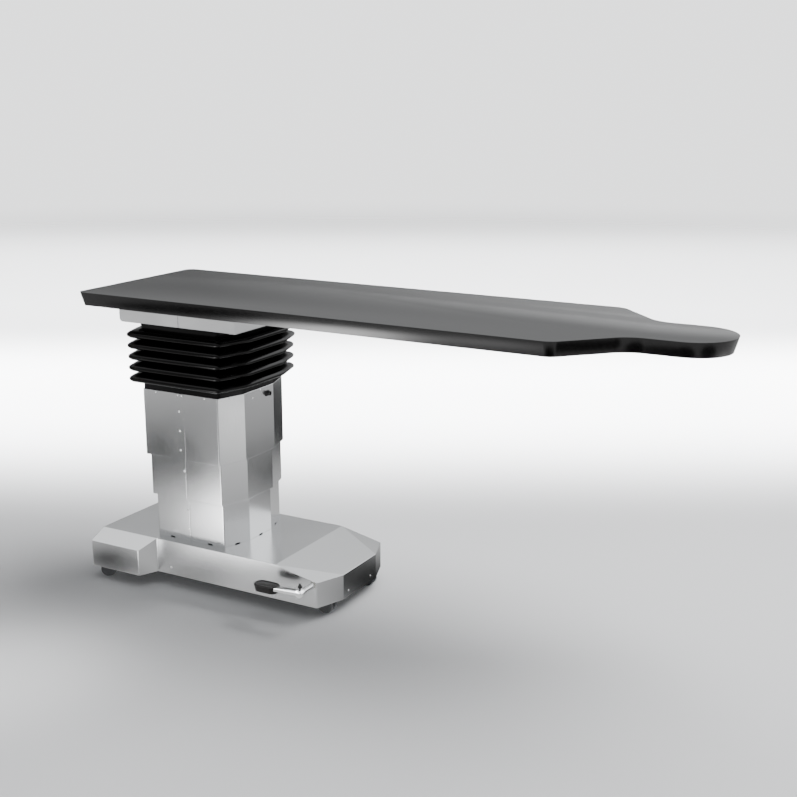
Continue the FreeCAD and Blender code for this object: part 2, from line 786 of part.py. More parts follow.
def yoke(foot_z, plate_out):
    """Fork of two cheeks on a plate: foot_z is the plate's joint face, plate_out its side."""
    plate_z = (foot_z, foot_z + plate_out * YOKE_PLATE)
    outer = YOKE_INNER + YOKE_THICK
    plate = box((-YOKE_FOOT_HALF, YOKE_FOOT_HALF), (-outer, outer), sorted(plate_z))
    parts = [plate]
    root = foot_z + plate_out * YOKE_PLATE / 2
    for side in (-1, 1):
        low = min(side * YOKE_INNER, side * outer)
        web = side_profile(
            [(-YOKE_FOOT_HALF, root), (YOKE_FOOT_HALF, root),
             (YOKE_BOSS_R, GIMBAL_Z), (-YOKE_BOSS_R, GIMBAL_Z)], low, low + YOKE_THICK)
        boss = rod(YOKE_BOSS_R, (0, low, GIMBAL_Z), (0, 1, 0), YOKE_THICK)
        parts += [web, boss]
    bore = rod(TRUNNION_R + RUN_FIT, (0, -outer, GIMBAL_Z), (0, 1, 0), 2 * outer)
    pinion_z = GIMBAL_Z - plate_out * (SECTOR_R + PINION_R)
    pinion_bore = rod(PINION_SHAFT_R + RUN_FIT, (0, -outer, pinion_z), (0, 1, 0), YOKE_THICK)
    return fused(parts).cut(bore).cut(pinion_bore)


def lower_yoke():
    return yoke(COLUMN_TOP, 1)


def upper_yoke():
    return swap_axes(yoke(FRAME_Z, -1))


def gimbal_cross():
    """Block with four trunnions: two along Y for the pitch, two along X for the roll."""
    block = centred_box((0, 0, GIMBAL_Z), (GIMBAL_BLOCK, GIMBAL_BLOCK, GIMBAL_BLOCK_H))
    edges = [e for e in block.Edges if abs(e.tangentAt(0).z) > 0.9]
    block = block.makeChamfer(GIMBAL_BLOCK / 5, edges)
    pins = []
    for direction in ((1, 0, 0), (0, 1, 0)):
        start = tuple(-TRUNNION_REACH * c for c in direction)
        pins.append(rod(TRUNNION_R, (start[0], start[1], GIMBAL_Z), direction, 2 * TRUNNION_REACH))
    return fused([block] + pins)


def flank_angle(radius, pitch_radius):
    """Half the angle that a tooth with involute flanks covers at the given radius."""
    pressure = math.radians(PRESSURE_ANGLE)
    base = pitch_radius * math.cos(pressure)
    local = math.acos(min(base / radius, 1.0))
    half_tooth = (math.pi * GEAR_MODULE / 2 - GEAR_BACKLASH) / (2 * pitch_radius)
    return half_tooth + math.tan(pressure) - pressure - math.tan(local) + local


def toothed_edges(pitch_radius, angles, centre_z, y):
    """Outline of a run of teeth in the XZ plane: each flank an arc on the involute."""
    root = pitch_radius - ROOT_RATIO * GEAR_MODULE
    tip = pitch_radius + GEAR_MODULE
    radii = (root, (root + tip) / 2, tip)
    edges = []
    last = None
    for angle in angles:
        flanks = []
        for hand in (-1, 1):
            points = []
            for radius in radii:
                turn = angle + hand * flank_angle(radius, pitch_radius)
                points.append(V(radius * math.cos(turn), y, centre_z + radius * math.sin(turn)))
            flanks.append(points)
        rising, falling = flanks
        if last:
            edges.append(Part.makeLine(last, rising[0]))
        edges.append(Part.Arc(*rising).toShape())
        edges.append(Part.makeLine(rising[-1], falling[-1]))
        edges.append(Part.Arc(*reversed(falling)).toShape())
        last = falling[0]
    return edges


def gear_blank(edges, closing_points):
    """Close a toothed outline through the given points and make the gear's thickness."""
    points = [edges[-1].lastVertex(True).Point] + closing_points
    points.append(edges[0].firstVertex(True).Point)
    for start, end in zip(points, points[1:]):
        edges.append(Part.makeLine(start, end))
    return Part.Face(Part.Wire(edges)).extrude(V(0, GEAR_W, 0))


def toothed_sector(side):
    """Sector on the trunnion: side -1 points down, +1 points up."""
    pitch = 2 * math.pi / SECTOR_TEETH
    reach = SHOWN_TEETH // 2
    angles = [side * math.pi / 2 + i * pitch for i in range(-reach, reach + 1)]
    low = -GEAR_AT - GEAR_W / 2
    edges = toothed_edges(SECTOR_R, angles, GIMBAL_Z, low)
    blade = gear_blank(edges, [V(0, low, GIMBAL_Z)])
    hub = rod(SECTOR_HUB_R, (0, low, GIMBAL_Z), (0, 1, 0), GEAR_W)
    return fused([blade, hub]).cut(rod(TRUNNION_R, (0, low, GIMBAL_Z), (0, 1, 0), GEAR_W))


def pinion(side):
    """Small gear and its shaft, which runs through the yoke's cheek into the motor."""
    centre_z = GIMBAL_Z + side * (SECTOR_R + PINION_R)
    pitch = 2 * math.pi / PINION_TEETH
    facing = -side * math.pi / 2
    angles = [facing + (i + 0.5) * pitch for i in range(PINION_TEETH)]
    low = -GEAR_AT - GEAR_W / 2
    gear = gear_blank(toothed_edges(PINION_R, angles, centre_z, low), [])
    shaft_end = -YOKE_INNER - 2 * YOKE_THICK
    shaft = rod(PINION_SHAFT_R, (0, shaft_end, centre_z), (0, 1, 0), low + GEAR_W - shaft_end)
    return fused([gear, shaft])


def gearmotor(side):
    """Motor screwed to the outside of the cheek, with a bore for the pinion's shaft."""
    centre_z = GIMBAL_Z + side * (SECTOR_R + PINION_R)
    face = -(YOKE_INNER + YOKE_THICK)
    body = rod(MOTOR_R, (0, face, centre_z), (0, -1, 0), MOTOR_L)
    bore = rod(PINION_SHAFT_R + RUN_FIT, (0, face, centre_z), (0, -1, 0), YOKE_THICK)
    return body.cut(bore)


# Bellows

def bellows_outline(z, stand_out, inside=0.0):
    """Eight-sided outline, rounder towards a fold's tip and wider towards the housing."""
    rise = max(0.0, (z - GIMBAL_Z) / (HOUSING_Z - GIMBAL_Z))
    shift = rise * COLLAR_SHIFT
    corners = bent([(x + shift, y) for x, y, _ in column_outline(2)], 0)
    moved = inset_outline(corners, BELLOWS_INSET - rise * COLLAR_OUT - stand_out + inside)
    radius = NECK_CORNER_R + (TIP_CORNER_R - NECK_CORNER_R) * stand_out / FOLD_TIP
    return bent([(x, y) for x, y, _ in moved], radius)


def bellows_half(end_z, away):
    """Half of the bellows, from its flat end to the middle fold's tip at the gimbal."""
    levels = [(GIMBAL_Z, FOLD_TIP)]
    for i in range(1, int(2 * FOLDS_PER_HALF) + 1):
        stand_out = 0.0 if i % 2 else FOLD_TIP
        levels.append((GIMBAL_Z + away * i * FOLD_PITCH / 2, stand_out))
    levels.append((end_z, 0.0))
    outer = flat_sided_loft([(bellows_outline(z, out), z) for z, out in levels])
    inner = flat_sided_loft([(bellows_outline(z, out, BELLOWS_WALL), z) for z, out in levels])
    return outer.cut(inner)


def bellows_lower():
    return bellows_half(COLUMN_TOP, -1)


def bellows_upper():
    return bellows_half(HOUSING_Z, 1)


# Tilt frame, float and housing

def float_housing(side):
    """Half of the sheet housing round the float: side -1 is the foot half."""
    top = HOUSING_Z + HOUSING_H
    shell = box((-HOUSING_HALF_X, HOUSING_HALF_X), (-HOUSING_HALF_Y, HOUSING_HALF_Y),
                (HOUSING_Z, top))
    foot_edges = [
        e for e in shell.Edges
        if e.CenterOfMass.x < SHEET - HOUSING_HALF_X and e.CenterOfMass.z < HOUSING_Z + SHEET
    ]
    shell = shell.makeFillet(HOUSING_FOOT_R, foot_edges)
    hollow = box((-HOUSING_HALF_X + SHEET, HOUSING_HALF_X - SHEET),
                 (-HOUSING_HALF_Y + SHEET, HOUSING_HALF_Y - SHEET), (HOUSING_Z + SHEET, top))
    hollow_edges = [
        e for e in hollow.Edges
        if e.CenterOfMass.x < 2 * SHEET - HOUSING_HALF_X and e.CenterOfMass.z < FRAME_Z + SHEET
    ]
    hollow = hollow.makeFillet(HOUSING_FOOT_R - SHEET, hollow_edges)
    open_x = HOUSING_HALF_X - HOUSING_LIP_X
    open_y = HOUSING_HALF_Y - HOUSING_LIP_Y
    opening = box((-open_x, open_x), (-open_y, open_y), (HOUSING_Z, top))
    edge = HOUSING_SPLIT_X + side * SEAM_GAP / 2
    reach = 2 * HOUSING_HALF_X
    x_range = (edge, edge + reach) if side > 0 else (edge - reach, edge)
    half = box(x_range, (-reach, reach), (HOUSING_Z, top))
    return shell.cut(hollow).cut(opening).common(half)


def tilt_frame_plate():
    """Plate that rests on the housing's lips and carries the cross rails."""
    half_x = HOUSING_HALF_X - SHEET - FRAME_SIDE_GAP - HOUSING_FOOT_R
    half_y = HOUSING_HALF_Y - SHEET - FRAME_SIDE_GAP
    plate = prism(rectangle(half_x, half_y), FRAME_Z, FRAME_TOP)
    for side_x in (-1, 1):
        for side_y in (-1, 1):
            centre = (side_x * FRAME_HOLE_X, side_y * (half_y - FRAME_HOLE_SIDE), FRAME_Z)
            plate = plate.cut(rod(FRAME_HOLE_R, centre, (0, 0, 1), FRAME_PLATE))
    return plate


def rail_points(grow):
    """Half-grooved rail section as (across, up) points, standing on up = 0."""
    half = RAIL_W / 2 + grow
    waist = half - RAIL_GROOVE
    groove_low = (RAIL_H - RAIL_GROOVE_H) / 2 + grow
    groove_high = (RAIL_H + RAIL_GROOVE_H) / 2 - grow
    top = RAIL_H + grow
    right = [(half, 0), (half, groove_low), (waist, groove_low),
             (waist, groove_high), (half, groove_high), (half, top)]
    left = [(-across, up) for across, up in reversed(right)]
    return right + left


def rail_along_y(length, grow=0.0):
    return side_profile(rail_points(grow), -length / 2, length / 2)


def cross_rail_length():
    return 2 * (CROSS_BLOCK_Y + CROSS_BLOCK_L / 2 + CROSS_TRAVEL) + 2 * SHEET


def cross_rails():
    rails = []
    for side in (-1, 1):
        rail = rail_along_y(cross_rail_length())
        rail.translate(V(side * CROSS_RAIL_X, 0, FRAME_TOP))
        rails.append(rail)
    return group(rails)


def cross_blocks():
    """Four blocks that grip the cross rails from above."""
    blocks = []
    for side_x in (-1, 1):
        for side_y in (-1, 1):
            low = side_y * CROSS_BLOCK_Y - CROSS_BLOCK_L / 2
            block = box((-BLOCK_W / 2, BLOCK_W / 2), (low, low + CROSS_BLOCK_L),
                        (BLOCK_LIFT, RAIL_H + BLOCK_ROOF))
            block = block.cut(rail_along_y(cross_rail_length(), RAIL_PLAY))
            block.translate(V(side_x * CROSS_RAIL_X, 0, FRAME_TOP))
            blocks.append(block)
    return blocks


def cross_carriage():
    """Plate between the cross blocks below and the longitudinal blocks above."""
    half_x = CROSS_RAIL_X + BLOCK_W / 2 + CARRIAGE_MARGIN
    half_y = CROSS_BLOCK_Y + CROSS_BLOCK_L / 2 + CARRIAGE_MARGIN
    half_y = max(half_y, LONG_RAIL_Y + BLOCK_W / 2)
    plate = prism(rectangle(half_x, half_y, 2 * CARRIAGE_MARGIN), CROSS_ROOF_Z, CARRIAGE_TOP)
    middle = prism(rectangle(LONG_BLOCK_X / 2, LONG_RAIL_Y / 2, CARRIAGE_MARGIN),
                   CROSS_ROOF_Z, CARRIAGE_TOP)
    return plate.cut(middle)


def long_blocks():
    """Four blocks that grip the tabletop's rails from below."""
    blocks = []
    for side_x in (-1, 1):
        for side_y in (-1, 1):
            low = -LONG_BLOCK_L / 2
            block = box((-BLOCK_W / 2, BLOCK_W / 2), (low, low + LONG_BLOCK_L),
                        (BLOCK_LIFT, RAIL_H + RAIL_PLAY + LONG_BLOCK_FLOOR))
            block = block.cut(rail_along_y(2 * LONG_BLOCK_L, RAIL_PLAY))
            block.rotate(V(0, 0, 0), V(0, 0, 1), 90)
            block.rotate(V(0, 0, 0), V(1, 0, 0), 180)
            block.translate(V(side_x * LONG_BLOCK_X, side_y * LONG_RAIL_Y, TOP_UNDER))
            blocks.append(block)
    return blocks


def long_rail_span():
    """Rail ends in x, long enough for the travel both ways."""
    reach = LONG_BLOCK_X + LONG_BLOCK_L / 2 + 2 * RAIL_H
    return -reach - TRAVEL_TO_HEAD, reach + TRAVEL_TO_FOOT


def long_rails():
    start, end = long_rail_span()
    rails = []
    for side in (-1, 1):
        rail = rail_along_y(end - start)
        rail.rotate(V(0, 0, 0), V(0, 0, 1), 90)
        rail.rotate(V(0, 0, 0), V(1, 0, 0), 180)
        rail.translate(V((start + end) / 2, side * LONG_RAIL_Y, TOP_UNDER))
        rails.append(rail)
    return group(rails)


# Tabletop

def tabletop_form(inset):
    """The tabletop with every face moved inwards by inset."""
    upper = inset_outline(tabletop_outline(), inset)
    lower = inset_outline(tabletop_outline(), inset + EDGE_UNDERCUT)
    return loft([(lower, TOP_UNDER + inset), (upper, TOP_HEIGHT - inset)])


def tabletop_skin():
    return tabletop_form(0).cut(tabletop_form(SKIN))


def tabletop_core():
    return tabletop_form(SKIN)


# Casters

def caster_places():
    """Swivel axis of each caster and the way it trails, in degrees from +X."""
    return [
        (HEAD_CASTER_X, -HEAD_CASTER_Y, 0.0),
        (HEAD_CASTER_X, HEAD_CASTER_Y, 0.0),
        (FOOT_CASTER_X, -FOOT_CASTER_Y, -135.0),
        (FOOT_CASTER_X, FOOT_CASTER_Y, 135.0),
    ]


def put_caster(shape, place):
    x, y, trail = place
    shape.rotate(V(0, 0, 0), V(0, 0, 1), trail)
    shape.translate(V(x, y, 0))
    return shape


def caster_fork(place):
    """Stem, disc, one web between the two wheels and a hood over them."""
    stem = rod(STEM_R, (0, 0, FORK_TOP - FORK_DISC_H), (0, 0, 1), FORK_DISC_H + STEM_L)
    disc = rod(FORK_DISC_R, (0, 0, FORK_TOP - FORK_DISC_H), (0, 0, 1), FORK_DISC_H)
    half_web = CASTER_WEB / 2
    web_half = FORK_DISC_R - WEB_EDGE
    web_top = FORK_TOP - FORK_DISC_H / 2
    web = side_profile(
        [(-web_half, web_top), (web_half, web_top),
         (CASTER_TRAIL + AXLE_BOSS_R, WHEEL_R + WEB_SLANT),
         (CASTER_TRAIL - AXLE_BOSS_R, WHEEL_R - WEB_SLANT)],
        -half_web, half_web)
    boss = rod(AXLE_BOSS_R, (CASTER_TRAIL, -half_web, WHEEL_R), (0, 1, 0), CASTER_WEB)
    fork = fused([stem, disc, web, boss, caster_hood()])
    hole = rod(AXLE_R + RUN_FIT, (CASTER_TRAIL, -half_web, WHEEL_R), (0, 1, 0), CASTER_WEB)
    return put_caster(fork.cut(hole), place)


def caster_hood():
    """Quarter of a thin drum over the wheels, on the side of the stem."""
    outer_r = WHEEL_R + HOOD_GAP + HOOD_WALL
    half_hood = CASTER_WEB / 2 + WHEEL_GAP + WHEEL_W
    start = (CASTER_TRAIL, -half_hood, WHEEL_R)
    drum = rod(outer_r, start, (0, 1, 0), 2 * half_hood)
    drum = drum.cut(rod(outer_r - HOOD_WALL, start, (0, 1, 0), 2 * half_hood))
    back_x = CASTER_TRAIL - outer_r
    keep = side_profile(
        [(CASTER_TRAIL, WHEEL_R), (CASTER_TRAIL + 2 * outer_r, WHEEL_R + 2 * outer_r),
         (back_x, WHEEL_R + 2 * outer_r), (back_x, WHEEL_R + outer_r / 2)],
        -half_hood, half_hood)
    return drum.common(keep)


def caster_wheels(place):
    """Two wheels pressed on to one axle."""
    inner_face = CASTER_WEB / 2 + WHEEL_GAP
    reach = inner_face + WHEEL_W
    axle = rod(AXLE_R, (CASTER_TRAIL, -reach, WHEEL_R), (0, 1, 0), 2 * reach)
    parts = [axle]
    for side in (-1, 1):
        start = (CASTER_TRAIL, side * inner_face, WHEEL_R)
        parts.append(rod(WHEEL_R, start, (0, side, 0), WHEEL_W).cut(axle))
    return put_caster(group(parts), place)


# Brake pedal

def bush_radius():
    return PEDAL_SHAFT_R + BUSH_WALL


def pedal_elbow_y():
    return -BASE_HALF_Y - PEDAL_REACH


def bearing_foot(side, gap=0.0):
    """Block that stands on the chassis under an eye of the pedal's shaft."""
    width = 2 * (PEDAL_SHAFT_R + BEARING_WALL + gap)
    return centred_box((PEDAL_X, side * BEARING_Y, (CHASSIS_TOP + PEDAL_Z) / 2),
                       (width, BEARING_W + 2 * gap, PEDAL_Z - CHASSIS_TOP))


def pedal_bushes():
    """Flanged bush in the cover's side and two bearing blocks on the chassis."""
    side = -BASE_HALF_Y
    sleeve = rod(bush_radius(), (PEDAL_X, side + 2 * SHEET, PEDAL_Z), (0, -1, 0),
                 2 * SHEET + BUSH_FLANGE)
    flange = rod(bush_radius() + BUSH_WALL, (PEDAL_X, side, PEDAL_Z), (0, -1, 0), BUSH_FLANGE)
    parts = [fused([sleeve, flange])]
    outer = PEDAL_SHAFT_R + BEARING_WALL
    for hand in (-1, 1):
        start = (PEDAL_X, hand * BEARING_Y - BEARING_W / 2, PEDAL_Z)
        parts.append(fused([bearing_foot(hand), rod(outer, start, (0, 1, 0), BEARING_W)]))
    bore = rod(PEDAL_SHAFT_R + RUN_FIT, (PEDAL_X, -BLOCK_HALF_Y, PEDAL_Z), (0, 1, 0),
               2 * BLOCK_HALF_Y)
    return group([part.cut(bore) for part in parts])


def pedal_eye_r():
    return PEDAL_SLEEVE_R + PEDAL_EYE_WALL


def pedal_lever():
    """Stepped shaft across the base, welded into the eye of a flat arm that holds the pad."""
    low = pedal_elbow_y() - PEDAL_ARM_W / 2
    start = PEDAL_X - PEDAL_ARM_L + PAD_LENGTH / 4
    half = PEDAL_ARM_H / 2
    thin = ARM_THIN_RATIO * half
    end_z = PEDAL_Z - PEDAL_ARM_DROP
    bar = side_profile(
        [(start, end_z - thin), (PEDAL_X, PEDAL_Z - half),
         (PEDAL_X, PEDAL_Z + half), (start, end_z + thin)], low, low + PEDAL_ARM_W)
    eye = rod(pedal_eye_r(), (PEDAL_X, low, PEDAL_Z), (0, 1, 0), PEDAL_ARM_W)
    sleeve_start = (PEDAL_X, low - SHEET, PEDAL_Z)
    sleeve_end = -BASE_HALF_Y - BUSH_FLANGE - RUN_FIT
    sleeve = rod(PEDAL_SLEEVE_R, sleeve_start, (0, 1, 0), sleeve_end - sleeve_start[1])
    shaft = rod(PEDAL_SHAFT_R, sleeve_start, (0, 1, 0),
                BEARING_Y + BEARING_W - sleeve_start[1])
    lever = fused([bar, eye, sleeve, shaft])
    return lever.cut(knob_stem(pedal_eye_r()))


def pedal_pad():
    """Rubber block with round ends, drawn in below, with an oval dish in its top."""
    x = PEDAL_X - PEDAL_ARM_L
    y = pedal_elbow_y()
    low = PEDAL_Z - PAD_SINK - PAD_HEIGHT / 2
    high = low + PAD_HEIGHT
    outline = rectangle(PAD_LENGTH / 2, PAD_DEPTH / 2, PAD_END_R)
    body = loft([
        (inset_outline(outline, PAD_DRAFT), low),
        (outline, high - PAD_EDGE),
        (inset_outline(outline, PAD_EDGE), high),
    ])
    body = body.cut(prism(inset_outline(outline, PAD_RIM), high - PAD_DISH, high))
    body.translate(V(x, y + PAD_BACK, 0))
    return body.cut(pedal_lever())


def knob_stem(length):
    """Upright stem from the shaft's axis, above the eye."""
    return rod(KNOB_STEM_R, (PEDAL_X, pedal_elbow_y(), PEDAL_Z), (0, 0, 1), length)


def pedal_knob():
    """Small clamping knob on a stem that is screwed into the eye from above."""
    foot = pedal_eye_r() + KNOB_NECK
    head = rod(KNOB_R, (PEDAL_X, pedal_elbow_y(), PEDAL_Z + foot), (0, 0, 1), KNOB_H)
    rims = [e for e in head.Edges if e.Closed]
    head = head.makeChamfer(KNOB_R / 3, rims)
    return fused([knob_stem(foot + KNOB_H + KNOB_STUB), head])


def save(shape, name):
    solids = shape.Solids
    if len(solids) > 1:
        shape = Part.makeCompound(solids)
    elif solids:
        shape = solids[0]
    shape.exportStep("parts/" + name + ".step")


def save_pairs():
    """Pieces that come as a foot half and a head half."""
    for side, word in ((-1, "foot"), (1, "head")):
        save(inner_cover(side), "inner_cover_" + word + "_half")
        save(middle_cover(side), "middle_cover_" + word + "_half")
        save(outer_cover(side), "outer_cover_" + word + "_half")
        save(float_housing(side), "float_housing_" + word + "_half")


def save_casters():
    names = ("head_near", "head_far", "foot_near", "foot_far")
    for place, name in zip(caster_places(), names):
        save(caster_fork(place), "caster_fork_" + name)
        save(caster_wheels(place), "caster_wheels_" + name)


def main():
    os.makedirs("parts", exist_ok=True)
    save_pairs()
    save_casters()
    pieces = {
        "base_cover": base_cover(),
        "chassis": chassis(),
        "ballast_weights": ballast_weights(),
        "pump_unit": pump_unit(),
        "battery_packs": battery_packs(),
        "control_box": control_box(),
        "mains_inlet": mains_inlet(),
        "equipotential_pin": equipotential_pin(),
        "pedal_bushes": pedal_bushes(),
        "pedal_lever": pedal_lever(),
        "pedal_pad": pedal_pad(),
        "pedal_knob": pedal_knob(),
        "lift_tube_fixed": square_tube(0, CHASSIS_TOP, INNER_COVER_TOP),
        "lift_tube_middle": square_tube(1, tube_bottom(0.5), MIDDLE_COVER_TOP),
        "lift_tube_inner": square_tube(2, tube_bottom(1), head_plate_z()),
        "fixed_tube_pads": fixed_tube_pads(),
        "middle_tube_pads": middle_tube_pads(),
        "inner_tube_pads": inner_tube_pads(),
        "middle_stage_bracket": middle_bracket(),
        "cylinder_barrel": cylinder_barrel(),
        "cylinder_middle_stage": cylinder_middle_stage(),
        "cylinder_rod": cylinder_rod(),
        "column_head_plate": head_plate(),
        "outer_joint_strip": joint_strip(),
        "handset_socket": handset_socket(),
        "lower_yoke": lower_yoke(),
        "upper_yoke": upper_yoke(),
        "gimbal_cross": gimbal_cross(),
        "pitch_sector": toothed_sector(-1),
        "roll_sector": swap_axes(toothed_sector(1)),
        "pitch_pinion": pinion(-1),
        "roll_pinion": swap_axes(pinion(1)),
        "pitch_gearmotor": gearmotor(-1),
        "roll_gearmotor": swap_axes(gearmotor(1)),
        "bellows_lower": bellows_lower(),
        "bellows_upper": bellows_upper(),
        "tilt_frame_plate": tilt_frame_plate(),
        "cross_rails": cross_rails(),
        "rail_blocks": group(cross_blocks() + long_blocks()),
        "cross_carriage": cross_carriage(),
        "long_rails": long_rails(),
        "tabletop_skin": tabletop_skin(),
        "tabletop_core": tabletop_core(),
    }
    for name, shape in pieces.items():
        save(shape, name)


main()
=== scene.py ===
"""Looks of the angiography table: new pieces, finishes, studio and camera."""

import json
import logging
import math
from dataclasses import dataclass, field
from enum import Enum
from typing import Callable, Sequence

import bmesh
import bpy
from mathutils import Matrix, Quaternion, Vector

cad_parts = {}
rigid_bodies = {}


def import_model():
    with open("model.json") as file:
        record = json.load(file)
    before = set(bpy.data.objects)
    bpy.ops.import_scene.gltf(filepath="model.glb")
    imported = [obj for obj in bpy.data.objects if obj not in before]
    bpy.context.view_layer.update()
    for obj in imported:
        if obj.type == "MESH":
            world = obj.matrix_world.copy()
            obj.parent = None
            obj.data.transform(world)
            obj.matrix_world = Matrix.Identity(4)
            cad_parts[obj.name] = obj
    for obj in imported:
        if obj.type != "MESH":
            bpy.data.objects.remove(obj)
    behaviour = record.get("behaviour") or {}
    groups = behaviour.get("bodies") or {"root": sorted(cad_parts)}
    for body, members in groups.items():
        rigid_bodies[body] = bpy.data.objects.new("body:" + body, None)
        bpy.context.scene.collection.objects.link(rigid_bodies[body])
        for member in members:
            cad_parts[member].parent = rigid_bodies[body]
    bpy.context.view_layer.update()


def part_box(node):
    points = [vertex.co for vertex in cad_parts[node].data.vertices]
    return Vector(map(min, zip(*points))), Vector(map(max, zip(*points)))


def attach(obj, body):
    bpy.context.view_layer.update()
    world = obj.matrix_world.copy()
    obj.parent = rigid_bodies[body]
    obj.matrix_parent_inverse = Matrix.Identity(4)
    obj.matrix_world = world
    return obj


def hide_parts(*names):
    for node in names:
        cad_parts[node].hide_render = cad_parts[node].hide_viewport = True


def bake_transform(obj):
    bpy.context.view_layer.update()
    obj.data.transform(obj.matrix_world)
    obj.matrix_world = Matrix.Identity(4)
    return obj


log = logging.getLogger("angiography_table")

MM = 0.001

Point = tuple[float, float, float]
Test = Callable[[Vector], bool]


class Grain(Enum):
    """Which way the brushing of a sheet runs, as stretch factors along X, Y and Z."""

    ALONG_X = (0.02, 1.0, 1.0)
    ALONG_Z = (1.0, 1.0, 0.02)


# Colours and nodes


def linear(code: str) -> tuple[float, float, float, float]:
    """Turn an sRGB hex value into linear colour.

    Args:
        code: six hex digits, such as "8c8c8c".

    Returns:
        Linear red, green and blue, with an alpha of one.
    """
    channels = []
    for start in (0, 2, 4):
        value = int(code[start:start + 2], 16) / 255.0
        low = value / 12.92
        high = ((value + 0.055) / 1.055) ** 2.4
        channels.append(low if value <= 0.04045 else high)
    return (channels[0], channels[1], channels[2], 1.0)


def add_node(tree: bpy.types.NodeTree, kind: str, settings: dict | None = None,
             links: dict | None = None) -> bpy.types.Node:
    """Add one node, set its properties and sockets, and link its inputs.

    Args:
        tree: the material's or world's node tree.
        kind: the node's type name.
        settings: property names, or input names or numbers, with their values.
        links: input names or numbers, with the output socket that feeds each.

    Returns:
        The new node.
    """
    node = tree.nodes.new(kind)
    for key, value in (settings or {}).items():
        if isinstance(key, str) and hasattr(node, key):
            setattr(node, key, value)
        else:
            node.inputs[key].default_value = value
    for key, output in (links or {}).items():
        tree.links.new(output, node.inputs[key])
    return node


def fresh_material(name: str) -> tuple[bpy.types.Material, bpy.types.NodeTree]:
    """Make an empty node material.

    Args:
        name: the material's name.

    Returns:
        The material and its node tree.
    """
    material = bpy.data.materials.new(name)
    material.use_nodes = True
    material.node_tree.nodes.clear()
    return material, material.node_tree


def object_place(tree: bpy.types.NodeTree,
                 stretch: Point = (1.0, 1.0, 1.0)) -> bpy.types.NodeSocket:
    """Object coordinates in millimetres, stretched along the axes.

    Args:
        tree: the node tree to add to.
        stretch: factors along X, Y and Z.

    Returns:
        The socket that gives the coordinates.
    """
    place = add_node(tree, "ShaderNodeTexCoord")
    scale = tuple(factor / MM for factor in stretch)
    mapping = add_node(tree, "ShaderNodeMapping", {"Scale": scale},
                       {"Vector": place.outputs["Object"]})
    return mapping.outputs["Vector"]


def spread(tree: bpy.types.NodeTree, source: bpy.types.NodeSocket, low: float, high: float,
           from_low: float = 0.3, from_high: float = 0.7) -> bpy.types.NodeSocket:
    """Map a noise's middle range to a new range.

    Args:
        tree: the node tree to add to.
        source: the value to map.
        low: result at from_low and under it.
        high: result at from_high and over it.
        from_low: source value that gives low.
        from_high: source value that gives high.

    Returns:
        The socket that gives the mapped value.
    """
    settings = {"From Min": from_low, "From Max": from_high, "To Min": low, "To Max": high}
    node = add_node(tree, "ShaderNodeMapRange", settings, {"Value": source})
    return node.outputs["Result"]


def noise(tree: bpy.types.NodeTree, place: bpy.types.NodeSocket, size_mm: float,
          detail: float = 3.0) -> bpy.types.NodeSocket:
    """Soft noise whose blotches are about size_mm across.

    Args:
        tree: the node tree to add to.
        place: coordinates in millimetres.
        size_mm: size of a blotch.
        detail: number of finer layers.

    Returns:
        The socket that gives the noise value.
    """
    settings = {"Scale": 1.0 / size_mm, "Detail": detail}
    node = add_node(tree, "ShaderNodeTexNoise", settings, {"Vector": place})
    return node.outputs["Fac"]


def finish_surface(tree: bpy.types.NodeTree, shader: bpy.types.Node) -> None:
    """Link a shader to the material's output.

    Args:
        tree: the material's node tree.
        shader: the shader node.
    """
    add_node(tree, "ShaderNodeOutputMaterial", links={"Surface": shader.outputs[0]})


@dataclass(frozen=True)
class BrushedStainless:
    """Sheet stainless steel, brushed: fine streaks one way and folded edges that catch light."""

    name: str
    grain: Grain
    colour: str = "c9cacb"
    roughness_low: float = 0.2
    roughness_high: float = 0.25
    streak_mm: float = 0.6    # real grit lines are finer; drawn coarser so that they show
    smudge_mm: float = 160.0
    edge_mm: float = 2.4

    def make(self) -> bpy.types.Material:
        """Build the material.

        Returns:
            The finished material.
        """
        material, tree = fresh_material(self.name)
        streaks = noise(tree, object_place(tree, self.grain.value), self.streak_mm, 4.0)
        smudges = noise(tree, object_place(tree), self.smudge_mm, 2.0)
        mixed = add_node(tree, "ShaderNodeMath", {"operation": "ADD"}, {0: streaks, 1: smudges})
        half = add_node(tree, "ShaderNodeMath", {"operation": "MULTIPLY", 1: 0.5},
                        {0: mixed.outputs[0]})
        roughness = spread(tree, half.outputs[0], self.roughness_low, self.roughness_high,
                           0.4, 0.6)
        edge = add_node(tree, "ShaderNodeBevel", {"samples": 6, "Radius": self.edge_mm * MM})
        bump = add_node(tree, "ShaderNodeBump", {"Strength": 0.02, "Distance": 0.05 * MM},
                        {"Height": streaks, "Normal": edge.outputs[0]})
        shader = add_node(tree, "ShaderNodeBsdfPrincipled",
                          {"Base Color": linear(self.colour), "Metallic": 1.0},
                          {"Roughness": roughness, "Normal": bump.outputs[0]})
        finish_surface(tree, shader)
        return material


